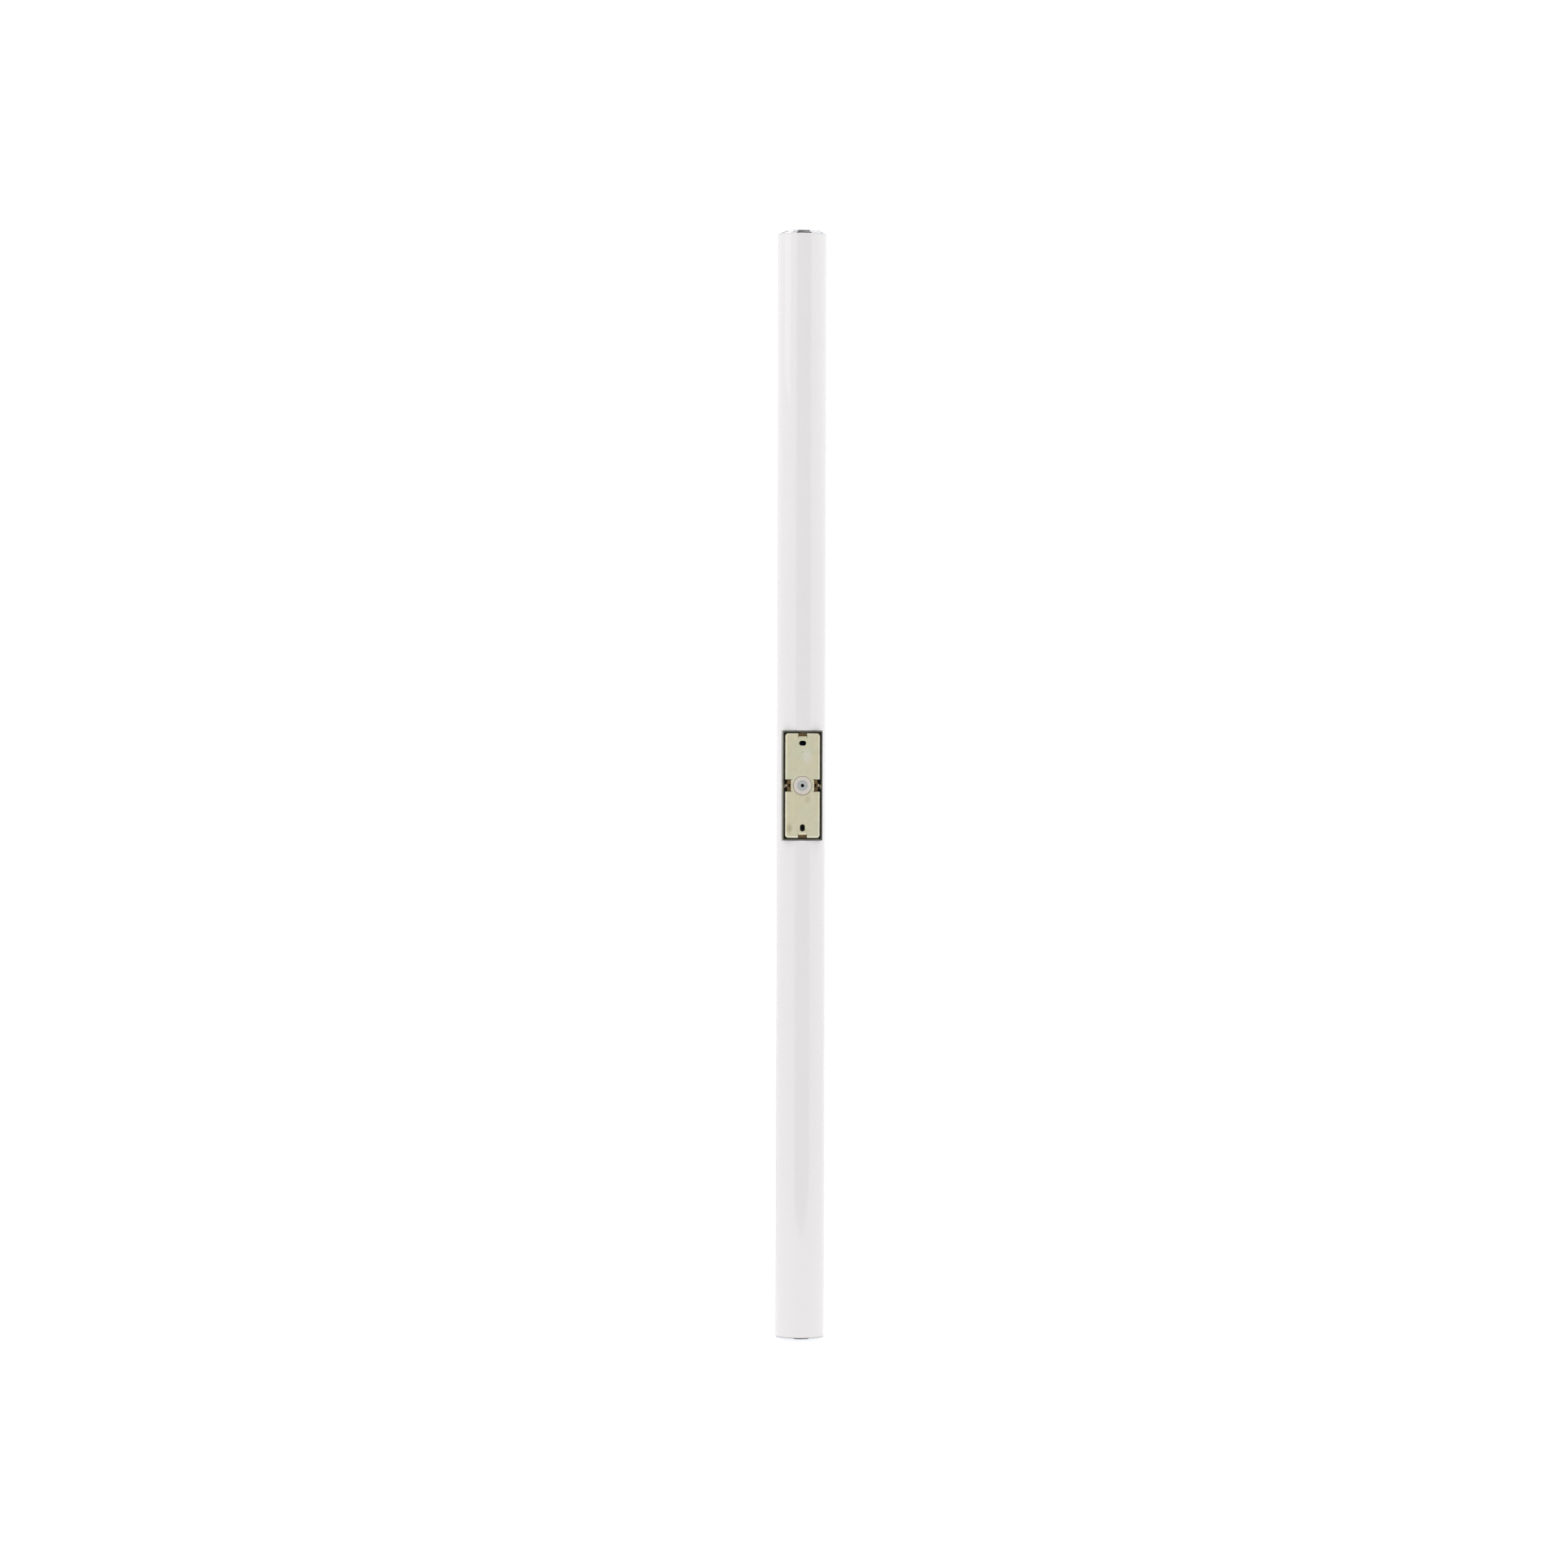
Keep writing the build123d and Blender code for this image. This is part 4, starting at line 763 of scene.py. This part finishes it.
def bush_shells(sign):
    """A lock bush: a turned ring with broken edges."""
    outer = high("lock_bushes").x
    length = 2.3 * MM
    radius = (high("lock_bushes").y - low("lock_bushes").y) / 2
    bore = 2.03 * MM
    outline = [
        (bore, outer - length / 2),
        (bore, outer),
        (radius, outer),
        (radius, outer - length),
        (bore, outer - length),
        (bore, outer - length / 2),
    ]
    profile = rounded(outline, [0.15 * MM, 0.2 * MM, 0.15 * MM, 0.15 * MM], 3)
    profile[:, 1] *= sign
    return [turned(profile, "X", lock_axis(), 96)]


def screw_shells(sign):
    """A set screw: a thread whose radius falls and rises along a helix, a hexagon socket and a stem bore.

    The thread's depth is a triangle wave of (place / pitch - angle / turn), faded out at both ends.
    The socket's radius is its half width over the cosine of the angle from the nearest flat.
    """
    lo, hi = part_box("lock_screw_right")
    radius = (hi.y - lo.y) / 2
    pitch = 0.7 * MM
    deep = 0.3 * MM
    chamfer = 0.25 * MM
    stem_bore = 0.95 * MM
    stem_bore_end = lo.x + 1.35 * MM
    socket_half = 1.0 * MM
    socket_end = hi.x - 1.6 * MM
    socket_rim = 1.3 * MM
    columns = 120
    sixth = TURN / 6
    angle = np.linspace(0, TURN, columns, endpoint=False)
    place = np.linspace(lo.x + chamfer, hi.x - chamfer, 49)
    phase = (place[:, None] / pitch - angle / TURN) % 1.0
    wave = np.clip(1.6 * np.abs(2 * phase - 1) - 0.2, 0, 1)
    fade = np.clip(np.minimum(place - place[0], place[-1] - place) / deep, 0, 1)[:, None]
    thread = radius - deep * wave * fade
    flat = (angle + sixth / 2) % sixth - sixth / 2
    socket = socket_half / np.cos(flat)
    rows = [(0.0, stem_bore_end), (stem_bore, stem_bore_end), (stem_bore, lo.x), (radius - chamfer, lo.x)]
    rows += [(thread[i], x) for i, x in enumerate(place)]
    rows += [(radius - chamfer, hi.x), (socket_rim, hi.x), (socket, hi.x - 0.12 * MM)]
    rows += [(socket, socket_end), (0.0, socket_end - 0.2 * MM)]
    rows = [(r, sign * x) for r, x in rows]
    return [turned(rows, "X", lock_axis(), columns)]


def pad_shells(sign):
    """A swivel pad: a disc with a rounded face, and the stem on which the screw turns."""
    lo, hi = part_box("lock_pad_right")
    radius = (hi.y - lo.y) / 2
    neck = low("lock_screw_right").x - 0.05 * MM
    stem = 0.9 * MM
    outline = [(0, lo.x), (radius, lo.x), (radius, neck), (stem, neck), (stem, hi.x), (0, hi.x)]
    profile = rounded(outline, [0.3 * MM, 0.15 * MM, 0.1 * MM, 0.2 * MM], 4)
    profile[:, 1] *= sign
    return [turned(profile, "X", lock_axis(), 72)]


class WALLLIGHT_OT_tube(bpy.types.Operator):
    """Builds the opal tube with its window"""

    bl_idname = "walllight.tube"
    bl_label = "Opal tube"

    def execute(self, context):
        scene = context.scene
        shells = tube_shells(scene.lamp_sizes)
        material = opal_acrylic(scene.lamp_colours)
        tube = piece("opal_tube", shells, "lamp", material, ["diffuser_tube"])
        soften(tube, scene.lamp_sizes.edge_break)
        return {"FINISHED"}


class WALLLIGHT_OT_end_caps(bpy.types.Operator):
    """Builds the two chromed end caps"""

    bl_idname = "walllight.end_caps"
    bl_label = "End caps"

    def execute(self, context):
        scene = context.scene
        material = bright_chrome(scene.lamp_colours)
        for side, sign in (("top", 1), ("bottom", -1)):
            shells = cap_shells(scene.lamp_sizes, sign)
            piece(f"{side}_cap", shells, f"{side}_cap", material, [f"{side}_end_cap"])
        return {"FINISHED"}


class WALLLIGHT_OT_bracket(bpy.types.Operator):
    """Gives the wall bracket its passivated finish"""

    bl_idname = "walllight.bracket"
    bl_label = "Wall bracket"

    def execute(self, context):
        paint(["wall_bracket"], passivated_zinc(context.scene.lamp_colours))
        return {"FINISHED"}


class WALLLIGHT_OT_grommet(bpy.types.Operator):
    """Builds the silicone cable grommet"""

    bl_idname = "walllight.grommet"
    bl_label = "Cable grommet"

    def execute(self, context):
        scene = context.scene
        flange = tuple(scene.lamp_colours.silicone)
        # radius, edge and colour of the painted shade on the membrane and in the bore
        disc = ((5.6 * MM, 0.08, "#aeb3b5"), (1.9 * MM, 0.12, "#2e2b22"))
        material = clear_silicone("moulded translucent silicone", flange, disc)
        shells = grommet_shells(scene.lamp_sizes)
        piece("pinhole_grommet", shells, "bracket", material, ["cable_grommet"])
        return {"FINISHED"}


class WALLLIGHT_OT_locks(bpy.types.Operator):
    """Builds the bushes, set screws and swivel pads of the two side locks"""

    bl_idname = "walllight.locks"
    bl_label = "Side locks"

    def execute(self, context):
        bush = bright_zinc("yellow zinc plated turned steel", "#d6cbae")
        steel = bright_zinc("yellow zinc plated set screw", "#dccfa8", 0.8)
        nylon = moulded("natural nylon", "#e6dfcc", (0.3, 0.45))
        shells = bush_shells(1) + bush_shells(-1)
        piece("lock_bush_pair", shells, "lamp", bush, ["lock_bushes"])
        for side, sign in (("right", 1), ("left", -1)):
            screw = [f"lock_screw_{side}"]
            pad = [f"lock_pad_{side}"]
            piece(f"set_screw_{side}", screw_shells(sign), f"{side}_screw", steel, screw)
            piece(f"swivel_pad_{side}", pad_shells(sign), f"{side}_pad", nylon, pad)
        return {"FINISHED"}


class WALLLIGHT_OT_housing(bpy.types.Operator):
    """Gives the mount's housing and what is fixed in it their finishes"""

    bl_idname = "walllight.housing"
    bl_label = "Mount housing"

    def execute(self, context):
        paint(["mount_housing"], galvanised_sheet(context.scene.lamp_colours))
        screws = ["housing_screws", "earth_screw", "terminal_screws"]
        paint(screws, bright_zinc("zinc plated screw", "#cfd1d2", 1.0))
        paint(["earth_ring"], bright_zinc("tinned copper", "#d0cbc2", 1.2))
        paint(["terminal_block"], moulded("moulded polyamide", "#e9e8e2"))
        paint(["lead_bush"], clear_silicone("moulded silicone bush", linear("#dcd6d4")))
        paint(["live_lead"], lead_cover("brown lead cover", "#5d3620"))
        paint(["neutral_lead"], lead_cover("blue lead cover", "#2a4a86"))
        paint(["earth_lead"], lead_cover("green and yellow lead cover", "#3f8a2e", "#dccb2a"))
        return {"FINISHED"}


class WALLLIGHT_OT_inside(bpy.types.Operator):
    """Gives the pieces inside the tube their finishes"""

    bl_idname = "walllight.inside"
    bl_label = "Inside the tube"

    def execute(self, context):
        paint(["led_carrier"], mill_aluminium())
        white_nylon = moulded("white nylon", "#e3e3e0")
        paint(["top_end_plug", "bottom_end_plug", "carrier_clips"], white_nylon)
        paint(["top_seal_ring", "bottom_seal_ring"], nitrile_rubber())
        screws = ["plug_screws", "board_screws", "driver_screws"]
        paint(screws, bright_zinc("zinc plated small screw", "#cdcfd1", 0.8))
        paint(["led_board_upper", "led_board_lower"], white_mask_board())
        paint(["led_chips_upper", "led_chips_lower"], led_phosphor())
        paint(["board_connectors"], moulded("natural nylon connector", "#ece6d6", (0.3, 0.45)))
        case = moulded("white polycarbonate", "#e6e6e3", (0.3, 0.45), 0.8 * MM, 0.02 * MM)
        paint(["driver_base", "driver_cover"], case)
        paint(["driver_board"], green_laminate())
        paint(["driver_transformer"], ferrite())
        paint(["driver_capacitors"], capacitor_sleeve())
        paint(["driver_coil"], wound_wire())
        paint(["board_link", "led_lead_positive"], lead_cover("red lead cover", "#b81f1c"))
        paint(["led_lead_negative"], lead_cover("black lead cover", "#1c1c1c"))
        return {"FINISHED"}


class WALLLIGHT_OT_stage(bpy.types.Operator):
    """Builds the floor, the lights and the camera"""

    bl_idname = "walllight.stage"
    bl_label = "Stage"

    def execute(self, context):
        scene = context.scene
        floor_z = -1.15
        reach = 9.0
        near = [(-reach, -reach, floor_z), (reach, -reach, floor_z)]
        far = [(-reach, reach, floor_z), (reach, reach, floor_z)]
        paper = stage_cloth("matt white studio floor", "#fafafa", 0.6)
        self.panel(scene, "floor", np.array([near, far]), paper)
        # black cloths that only reflections see: behind the camera, opposite it, and over the top light
        above = 3.4
        wide = 4.0
        near = [(-wide, -wide, above), (wide, -wide, above)]
        far = [(-wide, wide, above), (wide, wide, above)]
        cloths = {"cloth_above": [near, far]}
        upright = {"cloth_behind_camera": (-1.57, 2.17, -2.6), "cloth_opposite": (-0.45, 0.45, 2.6)}
        for name, (left, right, y) in upright.items():
            foot = [(left, y, floor_z), (right, y, floor_z)]
            cloths[name] = [foot, [(left, y, above), (right, y, above)]]
        cloth = stage_cloth("matt black cloth", "#141414", 0.2)
        for name, corners in cloths.items():
            hung = self.panel(scene, name, np.array(corners), cloth)
            hung.visible_camera = False
            hung.visible_diffuse = False
            hung.visible_shadow = False

        world = bpy.data.worlds.new("white tent")
        world.use_nodes = True
        background = world.node_tree.nodes["Background"]
        background.inputs["Color"].default_value = WHITE
        background.inputs["Strength"].default_value = 1.1
        scene.world = world
        scene.view_settings.view_transform = "Standard"

        self.softbox(scene, "softbox_left", (-2.2, -0.4, 1.6), 1.6, 8.0)
        self.softbox(scene, "softbox_top", (0.6, 0.6, 3.0), 3.0, 60.0)
        self.camera(scene)
        return {"FINISHED"}

    def panel(self, scene, name, points, material):
        """A flat stage panel from a two by two grid of points."""
        place, faces = sheet(points)
        mesh = bpy.data.meshes.new(name)
        mesh.from_pydata(place.tolist(), [], faces.tolist())
        mesh.materials.append(material)
        made = bpy.data.objects.new(name, mesh)
        scene.collection.objects.link(made)
        return made

    def softbox(self, scene, name, place, size, power):
        """A square area light that points at the middle of the light."""
        data = bpy.data.lights.new(name, "AREA")
        data.size = size
        data.energy = power
        made = bpy.data.objects.new(name, data)
        made.location = place
        made.rotation_euler = (-Vector(place)).to_track_quat("-Z", "Y").to_euler()
        scene.collection.objects.link(made)

    def camera(self, scene):
        """The camera stands a little to the left of the bracket's normal and looks at the tube's middle."""
        distance = 4.7
        aside = math.radians(3.3)
        roll = math.radians(-0.16)
        frame_steps = 1932
        metres_across = frame_steps * 0.8567 * MM
        aim = Vector((0.0, 0.026, 0.0))
        data = bpy.data.cameras.new("camera")
        data.sensor_width = 36.0
        data.lens = data.sensor_width * distance / metres_across
        data.shift_x = -21.1 / frame_steps
        data.shift_y = 1.9 / frame_steps
        data.clip_end = 100.0
        made = bpy.data.objects.new("camera", data)
        place = aim + distance * Vector((-math.sin(aside), -math.cos(aside), 0.0))
        turn = (aim - place).to_track_quat("-Z", "Y").to_matrix().to_4x4()
        made.matrix_world = Matrix.Translation(place) @ turn @ Matrix.Rotation(-roll, 4, "Z")
        scene.collection.objects.link(made)
        scene.camera = made


STEPS = (
    WALLLIGHT_OT_tube,
    WALLLIGHT_OT_end_caps,
    WALLLIGHT_OT_bracket,
    WALLLIGHT_OT_grommet,
    WALLLIGHT_OT_locks,
    WALLLIGHT_OT_housing,
    WALLLIGHT_OT_inside,
    WALLLIGHT_OT_stage,
)


class WALLLIGHT_PT_panel(bpy.types.Panel):
    """Lists the sizes, the colours and the steps"""

    bl_idname = "WALLLIGHT_PT_panel"
    bl_label = "Wall light"
    bl_space_type = "VIEW_3D"
    bl_region_type = "UI"
    bl_category = "Wall light"

    def draw(self, context):
        for group in (context.scene.lamp_sizes, context.scene.lamp_colours):
            for name in group.__annotations__:
                self.layout.prop(group, name)
        for step in STEPS:
            self.layout.operator(step.bl_idname)


CLASSES = (LampSizes, LampColours, *STEPS, WALLLIGHT_PT_panel)


def register():
    """Adds the classes and hangs the sizes and colours on the scene."""
    for entry in CLASSES:
        bpy.utils.register_class(entry)
    bpy.types.Scene.lamp_sizes = PointerProperty(type=LampSizes)
    bpy.types.Scene.lamp_colours = PointerProperty(type=LampColours)


def unregister():
    """Takes away what register added."""
    del bpy.types.Scene.lamp_colours
    del bpy.types.Scene.lamp_sizes
    for entry in reversed(CLASSES):
        bpy.utils.unregister_class(entry)


def main():
    """Runs every step in order."""
    register()
    for step in STEPS:
        group, name = step.bl_idname.split(".")
        getattr(getattr(bpy.ops, group), name)()


if __name__ == "__main__":
    main()
